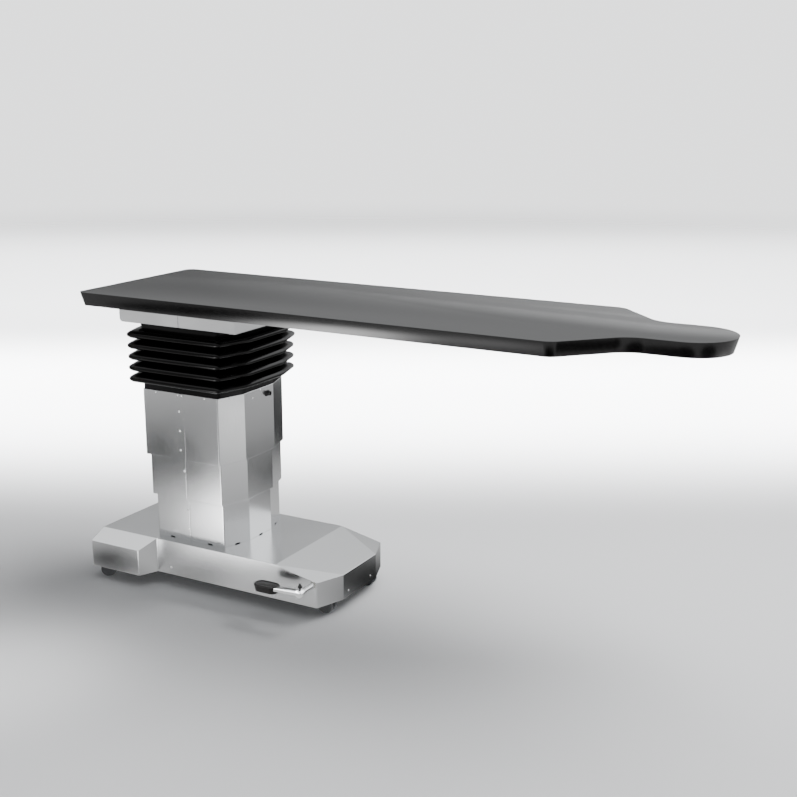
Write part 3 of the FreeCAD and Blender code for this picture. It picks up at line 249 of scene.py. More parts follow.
@dataclass(frozen=True)
class PlainMetal:
    """Machined, ground or plated metal: even colour, faint tool marks, softened edges."""

    name: str
    colour: str
    roughness: float
    mark_mm: float = 2.5
    edge_mm: float = 0.6

    def make(self) -> bpy.types.Material:
        """Build the material.

        Returns:
            The finished material.
        """
        material, tree = fresh_material(self.name)
        marks = noise(tree, object_place(tree), self.mark_mm, 4.0)
        roughness = spread(tree, marks, self.roughness * 0.8, self.roughness * 1.25)
        edge = add_node(tree, "ShaderNodeBevel", {"samples": 4, "Radius": self.edge_mm * MM})
        bump = add_node(tree, "ShaderNodeBump", {"Strength": 0.08, "Distance": 0.05 * MM},
                        {"Height": marks, "Normal": edge.outputs[0]})
        shader = add_node(tree, "ShaderNodeBsdfPrincipled",
                          {"Base Color": linear(self.colour), "Metallic": 1.0},
                          {"Roughness": roughness, "Normal": bump.outputs[0]})
        finish_surface(tree, shader)
        return material


@dataclass(frozen=True)
class Coating:
    """Paint, plastic or rubber: a coloured skin with a fine grain and slight colour drift."""

    name: str
    colour: str
    dark: str
    roughness: float
    grain_mm: float = 0.8
    bump: float = 0.1
    coat: float = 0.0
    coat_roughness: float = 0.1
    edge_mm: float = 0.8
    specular: float = 0.5

    def make(self) -> bpy.types.Material:
        """Build the material.

        Returns:
            The finished material.
        """
        material, tree = fresh_material(self.name)
        place = object_place(tree)
        grain = noise(tree, place, self.grain_mm, 2.0)
        drift = noise(tree, place, 60.0, 3.0)
        colour = add_node(tree, "ShaderNodeMix",
                          {"data_type": "RGBA", 6: linear(self.colour), 7: linear(self.dark)},
                          {0: spread(tree, drift, 0.0, 1.0)})
        roughness = spread(tree, grain, self.roughness * 0.85, self.roughness * 1.15)
        edge = add_node(tree, "ShaderNodeBevel", {"samples": 4, "Radius": self.edge_mm * MM})
        bump = add_node(tree, "ShaderNodeBump", {"Strength": self.bump, "Distance": 0.1 * MM},
                        {"Height": grain, "Normal": edge.outputs[0]})
        shader = add_node(tree, "ShaderNodeBsdfPrincipled",
                          {"Coat Weight": self.coat, "Coat Roughness": self.coat_roughness,
                           "Specular IOR Level": self.specular},
                          {"Base Color": colour.outputs[2], "Roughness": roughness,
                           "Normal": bump.outputs[0]})
        finish_surface(tree, shader)
        return material


@dataclass(frozen=True)
class CarbonLaminate:
    """Carbon fibre laminate under a satin clear lacquer: dark grey with a faint twill."""

    name: str = "carbon_laminate"
    colour: str = "070707"
    tow: str = "0b0b0c"
    roughness: float = 0.2
    tow_mm: float = 2.0

    def make(self) -> bpy.types.Material:
        """Build the material.

        Returns:
            The finished material.
        """
        material, tree = fresh_material(self.name)
        place = object_place(tree)
        twill = add_node(tree, "ShaderNodeTexWave",
                         {"bands_direction": "DIAGONAL", "Scale": 0.05 / self.tow_mm,
                          "Distortion": 0.0},
                         {"Vector": place})
        drift = noise(tree, place, 90.0, 3.0)
        colour = add_node(tree, "ShaderNodeMix",
                          {"data_type": "RGBA", 6: linear(self.colour), 7: linear(self.tow)},
                          {0: twill.outputs["Fac"]})
        roughness = spread(tree, drift, self.roughness * 0.92, self.roughness * 1.08)
        shader = add_node(tree, "ShaderNodeBsdfPrincipled",
                          {"Coat Weight": 0.0},
                          {"Base Color": colour.outputs[2], "Roughness": roughness})
        finish_surface(tree, shader)
        return material


class Finishes:
    """Every material of the table, made once and found by name."""

    def __init__(self) -> None:
        """Make the finishes."""
        made = [
            BrushedStainless("stainless_upright", Grain.ALONG_Z),
            BrushedStainless("stainless_lengthwise", Grain.ALONG_X),
            CarbonLaminate(),
            # Moulded, satin and nearly black, so only the folds' tips catch a thin light.
            Coating("bellows_rubber", "030303", "020202", 0.15, bump=0.05, specular=0.16,
                    edge_mm=0.4),
            # Rubber rubbed grey-brown where shoes press it.
            Coating("pad_rubber", "100c09", "080605", 0.3, bump=0.3, specular=0.3),
            # Moulded ABS, nearly black, with the light texture of its mould.
            Coating("black_abs", "141415", "0c0c0d", 0.42, bump=0.2),
            # Nylon tyres, grey and slightly scuffed, between the plated forks and the shadow.
            Coating("wheel_nylon", "5b5d60", "4a4c4e", 0.25, bump=0.15),
            # Sand-cast iron under primer: dull grey with a coarse grain.
            Coating("cast_iron", "4a4c4e", "3b3d3f", 0.62, grain_mm=1.6, bump=0.5),
            # Enamelled structural steel: smooth blue-grey with a soft gloss.
            Coating("painted_steel", "5c6166", "53585c", 0.4, bump=0.1),
            # Acetal slides and bushes: off-white and waxy.
            Coating("acetal", "e4e2da", "d8d6cd", 0.38, bump=0.05),
            # Closed-cell foam: cream and matt.
            Coating("rigid_foam", "d8cfb4", "cbc1a4", 0.8, bump=0.6),
            PlainMetal("ground_steel", "b9bbbe", 0.22),
            # Zinc-plated rivet and screw heads: domes that glint against the sheet.
            PlainMetal("zinc_plate", "fafafa", 0.3, edge_mm=0.2),
            PlainMetal("machined_aluminium", "c6c8ca", 0.34),
            PlainMetal("chrome_plate", "f4f5f6", 0.12),
            PlainMetal("polished_brass", "c9a85c", 0.2),
        ]
        self.by_name: dict[str, bpy.types.Material] = {f.name: f.make() for f in made}

    def dress(self, piece: bpy.types.Object, name: str) -> None:
        """Give a piece one finish.

        Args:
            piece: the object to dress.
            name: the finish's name.
        """
        piece.data.materials.clear()
        piece.data.materials.append(self.by_name[name])


# Modelling helpers


def select_only(piece: bpy.types.Object) -> None:
    """Deselect everything, then select one piece and make it active.

    Args:
        piece: the object to select.
    """
    for other in bpy.context.view_layer.objects:
        other.select_set(False)
    piece.select_set(True)
    bpy.context.view_layer.objects.active = piece


def clear_selection() -> None:
    """Deselect every object."""
    for other in bpy.context.view_layer.objects:
        other.select_set(False)


def settle(piece: bpy.types.Object, name: str) -> bpy.types.Object:
    """Name a piece and move its place into its mesh.

    Args:
        piece: the object to settle.
        name: its new name.

    Returns:
        The same object, at the origin.
    """
    piece.name = name
    piece.data.name = name
    bpy.context.view_layer.update()
    piece.data.transform(piece.matrix_world)
    piece.matrix_world.identity()
    return piece


def mode(name: str) -> None:
    """Switch the active object's mode."""
    bpy.ops.object.mode_set(mode=name)


def pick(piece: bpy.types.Object, kind: str, test: Test) -> int:
    """Select the faces, edges or vertices of the piece in edit mode that pass a test.

    Args:
        piece: the object in edit mode.
        kind: "faces", "edges" or "verts".
        test: takes an element's middle and says whether to select it.

    Returns:
        How many were selected.
    """
    bpy.ops.mesh.select_all(action="DESELECT")
    mesh = bmesh.from_edit_mesh(piece.data)
    switch = {"faces": "FACE", "edges": "EDGE", "verts": "VERT"}[kind]
    bpy.ops.mesh.select_mode(type=switch)
    count = 0
    for element in getattr(mesh, kind):
        middle = element.co if kind == "verts" else middle_of(element)
        if test(middle):
            element.select = True
            count += 1
    mesh.select_flush_mode()
    bmesh.update_edit_mesh(piece.data)
    return count


def middle_of(element: bmesh.types.BMFace | bmesh.types.BMEdge) -> Vector:
    """Middle of an edge's or face's vertices."""
    total = Vector((0.0, 0.0, 0.0))
    for vertex in element.verts:
        total += vertex.co
    return total / len(element.verts)


def near(value: float, target: float, slack: float = 0.02 * MM) -> bool:
    """Whether two lengths agree."""
    return abs(value - target) < slack


def apply_modifier(piece: bpy.types.Object, kind: str, settings: dict) -> None:
    """Add a modifier with its settings and apply it.

    Args:
        piece: the object.
        kind: the modifier's type.
        settings: property names and values.
    """
    select_only(piece)
    modifier = piece.modifiers.new(kind.lower(), kind)
    for key, value in settings.items():
        setattr(modifier, key, value)
    bpy.ops.object.modifier_apply(modifier=modifier.name)


def smooth(piece: bpy.types.Object, degrees: float = 35.0) -> None:
    """Shade a piece smooth, except across edges sharper than an angle.

    Args:
        piece: the object.
        degrees: the angle.
    """
    select_only(piece)
    bpy.ops.object.shade_smooth_by_angle(angle=math.radians(degrees))


def outward(piece: bpy.types.Object) -> None:
    """Merge doubles and make every face point outwards."""
    select_only(piece)
    mode("EDIT")
    bpy.ops.mesh.select_all(action="SELECT")
    bpy.ops.mesh.remove_doubles(threshold=0.01 * MM)
    bpy.ops.mesh.normals_make_consistent(inside=False)
    mode("OBJECT")


def seat(piece: bpy.types.Object, body: str, slot: str, *nodes: str) -> bpy.types.Object:
    """Let a finished piece ride on a body and stand for CAD nodes.

    Args:
        piece: the finished object.
        body: the body that carries it.
        slot: the record's material slot; not used.
        nodes: nodes that it stands for.

    Returns:
        The same object.
    """
    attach(piece, body)
    if nodes:
        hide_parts(*nodes)
    log.info("piece %s rides on %s, %d faces", piece.name, body, len(piece.data.polygons))
    return piece


def refined_copy(node: str, name: str, bevel_mm: float = 0.0,
                 sharp_deg: float = 35.0) -> bpy.types.Object:
    """Copy a CAD node's mesh, merge it and round its sharp edges.

    Args:
        node: the CAD node.
        name: the new piece's name.
        bevel_mm: width of the rounding, or 0 for none.
        sharp_deg: edges sharper than this are rounded and shaded sharp.

    Returns:
        The new piece.
    """
    source = bpy.data.objects[node]
    piece = bpy.data.objects.new(name, source.data.copy())
    bpy.context.scene.collection.objects.link(piece)
    piece.data.materials.clear()
    select_only(piece)
    mode("EDIT")
    bpy.ops.mesh.select_all(action="SELECT")
    bpy.ops.mesh.remove_doubles(threshold=0.002 * MM)
    bpy.ops.mesh.dissolve_limited(angle_limit=math.radians(0.5))
    mode("OBJECT")
    if bevel_mm:
        apply_modifier(piece, "BEVEL", {
            "width": bevel_mm * MM, "segments": 2, "limit_method": "ANGLE",
            "angle_limit": math.radians(sharp_deg), "use_clamp_overlap": True})
    smooth(piece, sharp_deg)
    return piece


# The table's sub-assemblies


@dataclass
class Tabletop:
    """The long imaging tabletop: one laminate shell with a drawn-in underside."""

    finishes: Finishes
    shoulder_x: float = 1245 * MM
    taper: float = 146 * MM
    head_width: float = 236 * MM
    foot_corner_r: float = 25 * MM
    shoulder_r: float = 50 * MM
    neck_r: float = 90 * MM
    undercut: float = 12 * MM
    rim_r: float = 2.2 * MM
    arc_steps: int = 12

    def build(self) -> None:
        """Model the shell and dress it."""
        low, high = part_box("tabletop_skin")
        self.outline(low, high)
        self.walls(low, high)
        self.finishes.dress(self.shell, "carbon_laminate")
        seat(self.shell, "tabletop", "carbon_laminate", "tabletop_skin")

    def outline(self, low: Vector, high: Vector) -> None:
        """Draw the plan as one flat face at the upper side.

        Args:
            low: lowest corner of the shell.
            high: highest corner of the shell.
        """
        clear_selection()
        middle = ((low.x + self.shoulder_x) / 2, 0.0, high.z)
        bpy.ops.mesh.primitive_plane_add(size=1.0, location=middle)
        self.shell = settle(bpy.context.object, "tabletop_shell")
        self.shell.data.transform(self.stretch(middle, (self.shoulder_x - low.x, high.y - low.y)))
        select_only(self.shell)
        mode("EDIT")
        neck = self.shoulder_x + self.taper
        half = self.head_width / 2
        self.extrude_end(self.shoulder_x, neck, self.head_width / (high.y - low.y))
        self.extrude_end(neck, high.x, 1.0)
        bpy.ops.mesh.select_all(action="SELECT")
        bpy.ops.mesh.dissolve_faces(use_verts=False)
        turn = math.atan2(high.y - half, self.taper)
        corners = (
            (low.x, high.y, self.foot_corner_r, math.pi / 2),
            (self.shoulder_x, high.y, self.shoulder_r, turn),
            (neck, half, self.neck_r, turn),
            (high.x, half, half * 0.999, math.pi / 2),
        )
        for x, y, radius, angle in corners:
            pick(self.shell, "verts", lambda v: near(v.x, x) and near(abs(v.y), y))
            bpy.ops.mesh.bevel(offset_type="OFFSET", offset=radius * math.tan(angle / 2),
                               segments=self.arc_steps, affect="VERTICES", clamp_overlap=False)
        mode("OBJECT")

    def stretch(self, middle: Point, size: tuple[float, float]) -> Matrix:
        """Matrix that stretches a unit plane about its middle to a length and width."""
        centre = Vector(middle)
        scale = Matrix.Diagonal((size[0], size[1], 1.0, 1.0))
        return Matrix.Translation(centre) @ scale @ Matrix.Translation(-centre)

    def extrude_end(self, start: float, end: float, narrowing: float) -> None:
        """Extrude the head-end edge.

        Args:
            start: where the edge lies in x.
            end: where it goes.
            narrowing: factor on its length.
        """
        pick(self.shell, "edges", lambda m: near(m.x, start) and near(m.y, 0.0))
        bpy.ops.mesh.extrude_edges_move(
            TRANSFORM_OT_translate={"value": (end - start, 0.0, 0.0)})
        bpy.ops.transform.resize(value=(1.0, narrowing, 1.0), center_override=(end, 0.0, 0.0))

    def walls(self, low: Vector, high: Vector) -> None:
        """Give the plan its sloped sides and underside, and round both rims.

        Args:
            low: lowest corner of the shell.
            high: highest corner of the shell.
        """
        depth = high.z - low.z
        select_only(self.shell)
        mode("EDIT")
        bpy.ops.mesh.select_all(action="SELECT")
        if bmesh.from_edit_mesh(self.shell.data).faces[:][0].normal.z < 0:
            bpy.ops.mesh.flip_normals()
        bpy.ops.mesh.duplicate()
        bpy.ops.mesh.flip_normals()
        bpy.ops.mesh.inset(thickness=self.undercut, depth=depth)
        mode("OBJECT")
        outward(self.shell)
        apply_modifier(self.shell, "BEVEL", {
            "width": self.rim_r, "segments": 3, "limit_method": "ANGLE",
            "angle_limit": math.radians(40)})
        smooth(self.shell)


@dataclass
class Bellows:
    """Five-fold rubber bellows round the tilting head, in two halves that meet at the gimbal."""

    finishes: Finishes
    gimbal_z: float = 738 * MM
    pitch: float = 35 * MM
    middle_x: float = -6.4 * MM       # the outer cover's middle
    half_x: float = 172.9 * MM        # half the neck's length and width
    half_y: float = 172.0 * MM
    front_half: float = 142.5 * MM
    side_half: float = 77.2 * MM
    stand_out: float = 35.5 * MM      # how far a fold's tip lies out of the neck
    collar_out: float = 6 * MM        # the neck at the housing is wider all round
    collar_shift: float = 8 * MM      # and its middle lies nearer to the head end
    corner_r: float = 11 * MM
    fold: tuple[tuple[float, float], ...] = (   # height from the tip and share of stand_out
        (4.5 * MM, 0.97), (9.5 * MM, 0.8), (13.5 * MM, 0.45), (17.5 * MM, 0.0))
    wall: float = 2.0 * MM

    def build(self) -> None:
        """Model both halves."""
        self.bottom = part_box("bellows_lower")[0].z
        self.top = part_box("bellows_upper")[1].z
        self.half("bellows_lower_half", self.bottom, -1, "outer_stage", "gimbal",
                  "bellows_lower")
        self.half("bellows_upper_half", self.top, 1, "gimbal", "tilt_frame", "bellows_upper")

    def half(self, name: str, end_z: float, away: int, first: str, second: str,
             node: str) -> None:
        """Model one half.

        Args:
            name: the piece's name.
            end_z: height of its flat end.
            away: -1 for the lower half, 1 for the upper half.
            first: body at its lower end, named only in the log.
            second: body at its upper end, named only in the log.
            node: the CAD node that it stands for.
        """
        piece = self.ring(name)
        select_only(piece)
        mode("EDIT")
        pick(piece, "edges", lambda m: near(m.z, self.gimbal_z))
        last = (self.gimbal_z, 1.0)
        for level, share in self.levels(away):
            last = self.step(last, (level, share))
        self.step(last, (end_z, 0.0))
        mode("OBJECT")
        outward(piece)
        apply_modifier(piece, "SOLIDIFY", {"thickness": self.wall, "offset": -1.0})
        smooth(piece, 60.0)
        self.finishes.dress(piece, "bellows_rubber")
        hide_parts(node)
        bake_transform(piece)
        log.info("piece %s blends %s to %s", name, first, second)

    def levels(self, away: int) -> list[tuple[float, float]]:
        """Rings of one half after the middle tip.

        Args:
            away: -1 for the lower half, 1 for the upper half.

        Returns:
            Each ring's height and its share of the folds' stand-out.
        """
        rings = [(self.gimbal_z + away * rise, share) for rise, share in self.fold]
        for index in (1, 2):
            tip = self.gimbal_z + away * index * self.pitch
            rings += [(tip - away * rise, share) for rise, share in reversed(self.fold[:-1])]
            rings.append((tip, 1.0))
            rings += [(tip + away * rise, share) for rise, share in self.fold]
        return rings

    def plan(self, ring: tuple[float, float]) -> tuple[float, Vector]:
        """Where a ring's middle lies and how far it stands out.

        Args:
            ring: its height and its share of the folds' stand-out.

        Returns:
            How far it stands out of the lower neck, and its middle.
        """
        level, share = ring
        rise = max(0.0, (level - self.gimbal_z) / (self.top - self.gimbal_z))
        out = share * self.stand_out + rise * self.collar_out
        return out, Vector((self.middle_x + rise * self.collar_shift, 0.0, level))

    def ring(self, name: str) -> bpy.types.Object:
        """Draw the eight-sided ring of the middle fold's tip.

        Args:
            name: the piece's name.

        Returns:
            The piece, a ring of edges.
        """
        clear_selection()
        middle = Vector((self.middle_x, 0.0, self.gimbal_z))
        bpy.ops.mesh.primitive_plane_add(size=2.0, location=middle)
        piece = settle(bpy.context.object, name)
        select_only(piece)
        mode("EDIT")
        bpy.ops.transform.resize(value=(self.half_x, self.half_y, 1.0), center_override=middle)
        for side_x in (-1, 1):
            for side_y in (-1, 1):
                along = Vector((side_x * (self.half_x - self.front_half),
                                -side_y * (self.half_y - self.side_half), 0.0))
                normal = Vector((-along.y, along.x, 0.0)) * side_x * side_y
                corner = Vector((side_x * self.front_half, side_y * self.half_y, 0.0))
                bpy.ops.mesh.select_all(action="SELECT")
                bpy.ops.mesh.bisect(plane_co=middle + corner, plane_no=normal.normalized(),
                                    clear_outer=True)
        pick(piece, "verts", lambda v: True)
        bpy.ops.mesh.bevel(offset=self.corner_r, segments=4, affect="VERTICES")
        bpy.ops.mesh.select_all(action="SELECT")
        bpy.ops.mesh.delete(type="ONLY_FACE")
        bpy.ops.mesh.select_all(action="SELECT")
        bpy.ops.transform.resize(value=(1.0 + self.stand_out / self.half_x,
                                        1.0 + self.stand_out / self.half_y, 1.0),
                                 center_override=middle)
        return piece

    def step(self, last: tuple[float, float], ring: tuple[float, float]) -> tuple[float, float]:
        """Extrude the selected ring to the next one.

        Args:
            last: height and share of the selected ring.
            ring: the same of the next one.

        Returns:
            The next ring, which is now the selected one.
        """
        old_out, old_middle = self.plan(last)
        out, middle = self.plan(ring)
        bpy.ops.mesh.extrude_edges_move(TRANSFORM_OT_translate={"value": middle - old_middle})
        bpy.ops.transform.resize(value=((self.half_x + out) / (self.half_x + old_out),
                                        (self.half_y + out) / (self.half_y + old_out), 1.0),
                                 center_override=middle)
        return ring


@dataclass
class CarriedOver:
    """CAD nodes whose shape is right: they stay and get a finish."""

    finishes: Finishes
    stays: dict[str, str] = field(default_factory=lambda: {
        "tabletop_core": "rigid_foam", "long_rails": "ground_steel",
        "float_housing_foot_half": "stainless_lengthwise",
        "float_housing_head_half": "stainless_lengthwise",
        "tilt_frame_plate": "painted_steel", "cross_rails": "ground_steel",
        "rail_blocks": "ground_steel", "cross_carriage": "machined_aluminium",
        "upper_yoke": "painted_steel", "lower_yoke": "painted_steel",
        "gimbal_cross": "ground_steel", "pitch_sector": "ground_steel",
        "roll_sector": "ground_steel", "pitch_pinion": "ground_steel",
        "roll_pinion": "ground_steel", "pitch_gearmotor": "black_abs",
        "roll_gearmotor": "black_abs", "column_head_plate": "painted_steel",
        "outer_cover_foot_half": "stainless_upright",
        "outer_cover_head_half": "stainless_upright",
        "middle_cover_foot_half": "stainless_upright",
        "middle_cover_head_half": "stainless_upright",
        "inner_cover_foot_half": "stainless_upright",
        "inner_cover_head_half": "stainless_upright",
        "outer_joint_strip": "stainless_upright",
        "lift_tube_fixed": "painted_steel", "lift_tube_middle": "painted_steel",
        "lift_tube_inner": "painted_steel", "fixed_tube_pads": "acetal",
        "middle_tube_pads": "acetal", "inner_tube_pads": "acetal",
        "middle_stage_bracket": "painted_steel", "cylinder_barrel": "ground_steel",
        "cylinder_middle_stage": "ground_steel", "cylinder_rod": "chrome_plate",
        "base_cover": "stainless_lengthwise", "chassis": "cast_iron",
        "ballast_weights": "painted_steel", "pump_unit": "painted_steel",
        "battery_packs": "black_abs", "control_box": "machined_aluminium",
        "mains_inlet": "black_abs", "equipotential_pin": "polished_brass",
        "pedal_bushes": "acetal",
    })

    def build(self) -> None:
        """Dress every node that stays."""
        for node, finish in self.stays.items():
            self.finishes.dress(bpy.data.objects[node], finish)
        log.info("%d nodes carried over", len(self.stays))


@dataclass
class SmoothedCopies:
    """Small round CAD pieces that show: merged copies with softened edges."""

    finishes: Finishes
    casters: tuple[str, ...] = ("head_near", "head_far", "foot_near", "foot_far")

    def build(self) -> None:
        """Copy, soften and dress each one."""
        rows = [
            ("handset_socket", "handset_socket_body", "outer_stage", "black_abs", 0.6),
            ("pedal_lever", "pedal_lever_bar", "pedal", "chrome_plate", 0.9),
            ("pedal_pad", "pedal_pad_rubber", "pedal", "pad_rubber", 1.0),
            ("pedal_knob", "pedal_knob_head", "pedal", "black_abs", 0.5),
        ]
        for name in self.casters:
            fork = "caster_fork_" + name
            wheels = "caster_wheels_" + name
            rows.append((fork, fork + "_plated", fork, "chrome_plate", 0.4))
            rows.append((wheels, wheels + "_nylon", wheels, "wheel_nylon", 0.8))
        slots = {"black_abs": "black_plastic", "chrome_plate": "chrome",
                 "pad_rubber": "pad_rubber", "wheel_nylon": "wheel_plastic"}
        for node, name, body, finish, bevel_mm in rows:
            piece = refined_copy(node, name, bevel_mm)
            self.finishes.dress(piece, finish)
            seat(piece, body, slots[finish], node)


@dataclass(frozen=True)
class Head:
    """One rivet's or screw's head: where it sits, which way it looks and its size."""

    place: Point
    normal: Point
    radius: float = 3.6
    height: float = 1.8


@dataclass
class Fasteners:
    """Pop rivets along the seams and small screws, as shallow domes on the sheets."""

    finishes: Finishes
    # All in mm, in the frame's axes.
    outer_y: float = -173.0           # front faces of the three covers
    middle_y: float = -163.0
    inner_y: float = -153.0
    strip_t: float = 1.0
    strip_rivet_x: float = -10.5
    strip_rivet_z: tuple[float, ...] = (577.0, 515.0, 453.0)
    seam_rivet_x: float = -8.5
    middle_rivet_z: float = 382.0
    inner_rivet_z: tuple[float, ...] = (251.0, 188.0)
    edge_z: float = 628.5             # row along the outer cover's top edge
    edge_front_x: tuple[float, ...] = (-100.0, 88.0)
    edge_strip_x: tuple[float, ...] = (-13.5, 0.5)
    edge_back_x: tuple[float, ...] = (-100.0, 0.0, 88.0)
    edge_size: tuple[float, float] = (2.6, 1.0)
    screw_size: tuple[float, float] = (3.0, 1.2)
    chamfer_screw: Point = (150.5, -130.0, 628.5)
    chamfer_normal: Point = (0.951, -0.309, 0.0)
    socket_screw: Point = (167.5, -34.0, 610.0)
    socket_screw_size: tuple[float, float] = (3.4, 1.2)
    end_screw: Point = (167.5, 8.0, 628.5)
    skirt_side_screw: Point = (-55.0, -191.6, 62.0)
    skirt_end_x: float = 529.0
    skirt_end_y: tuple[float, ...] = (-68.0, 64.0)
    skirt_end_z: float = 58.0

    def build(self) -> None:
        """Place the rows of heads on each cover."""
        front = (0.0, -1.0, 0.0)
        back = (0.0, 1.0, 0.0)
        end = (1.0, 0.0, 0.0)
        strip = self.outer_y - self.strip_t
        outer = [Head((self.strip_rivet_x, strip, z), front) for z in self.strip_rivet_z]
        edges = ((self.edge_front_x, self.outer_y, front), (self.edge_strip_x, strip, front),
                 (self.edge_back_x, -self.outer_y, back))
        for row_x, y, way in edges:
            outer += [Head((x, y, self.edge_z), way, *self.edge_size) for x in row_x]
        outer.append(Head(self.chamfer_screw, self.chamfer_normal, *self.screw_size))
        outer.append(Head(self.socket_screw, end, *self.socket_screw_size))
        outer.append(Head(self.end_screw, end, *self.screw_size))
        self.row("outer_cover_rivets", "outer_stage", outer)
        middle = [Head((self.seam_rivet_x, self.middle_y, self.middle_rivet_z), front)]
        self.row("middle_cover_rivets", "middle_stage", middle)
        inner = [Head((self.seam_rivet_x, self.inner_y, z), front) for z in self.inner_rivet_z]
        self.row("inner_cover_rivets", "base", inner)
        skirt = [Head(self.skirt_side_screw, front, *self.screw_size)]
        skirt += [Head((self.skirt_end_x, y, self.skirt_end_z), end, *self.screw_size)
                  for y in self.skirt_end_y]
        self.row("base_skirt_screws", "base", skirt)

    def row(self, name: str, body: str, heads: Sequence[Head]) -> None:
        """Model every head and join them.

        Args:
            name: the piece's name.
            body: the body that carries it.
            heads: the heads.
        """
        domes = [self.dome(head) for head in heads]
        clear_selection()
        for dome in domes:
            dome.select_set(True)
        bpy.context.view_layer.objects.active = domes[0]
        if len(domes) > 1:
            bpy.ops.object.join()
        piece = settle(bpy.context.object, name)
        smooth(piece, 60.0)
        self.finishes.dress(piece, "zinc_plate")
        seat(piece, body, "ground_steel")

    def dome(self, head: Head) -> bpy.types.Object:
        """Model one head as a flattened half sphere.

        Args:
            head: its place, direction and size in mm.

        Returns:
            The dome.
        """
        clear_selection()
        radius = head.radius * MM
        bpy.ops.mesh.primitive_uv_sphere_add(segments=20, ring_count=12, radius=radius)
        dome = bpy.context.object
        mode("EDIT")
        bpy.ops.mesh.select_all(action="SELECT")
        bpy.ops.mesh.bisect(plane_co=(0.0, 0.0, 0.0), plane_no=(0.0, 0.0, 1.0),
                            clear_inner=True, use_fill=True)
        bpy.ops.mesh.select_all(action="SELECT")
        bpy.ops.transform.resize(value=(1.0, 1.0, head.height / head.radius),
                                 center_override=(0.0, 0.0, 0.0))
        mode("OBJECT")
        dome.matrix_world = Vector(head.normal).to_track_quat("Z", "Y").to_matrix().to_4x4()
        dome.location = Vector(head.place) * MM
        return dome


# Studio


@dataclass(frozen=True)
class Patch:
    """Round soft patch on the reflection card: middle, radius and strength, which may darken."""

    x: float
    y: float
    radius: float
    strength: float


@dataclass(frozen=True)
class AreaLamp:
    """One large soft lamp."""

    name: str
    place: Point
    target: Point
    width: float
    depth: float
    watts: float
    spread_deg: float = 180.0
    turn_deg: float = 0.0


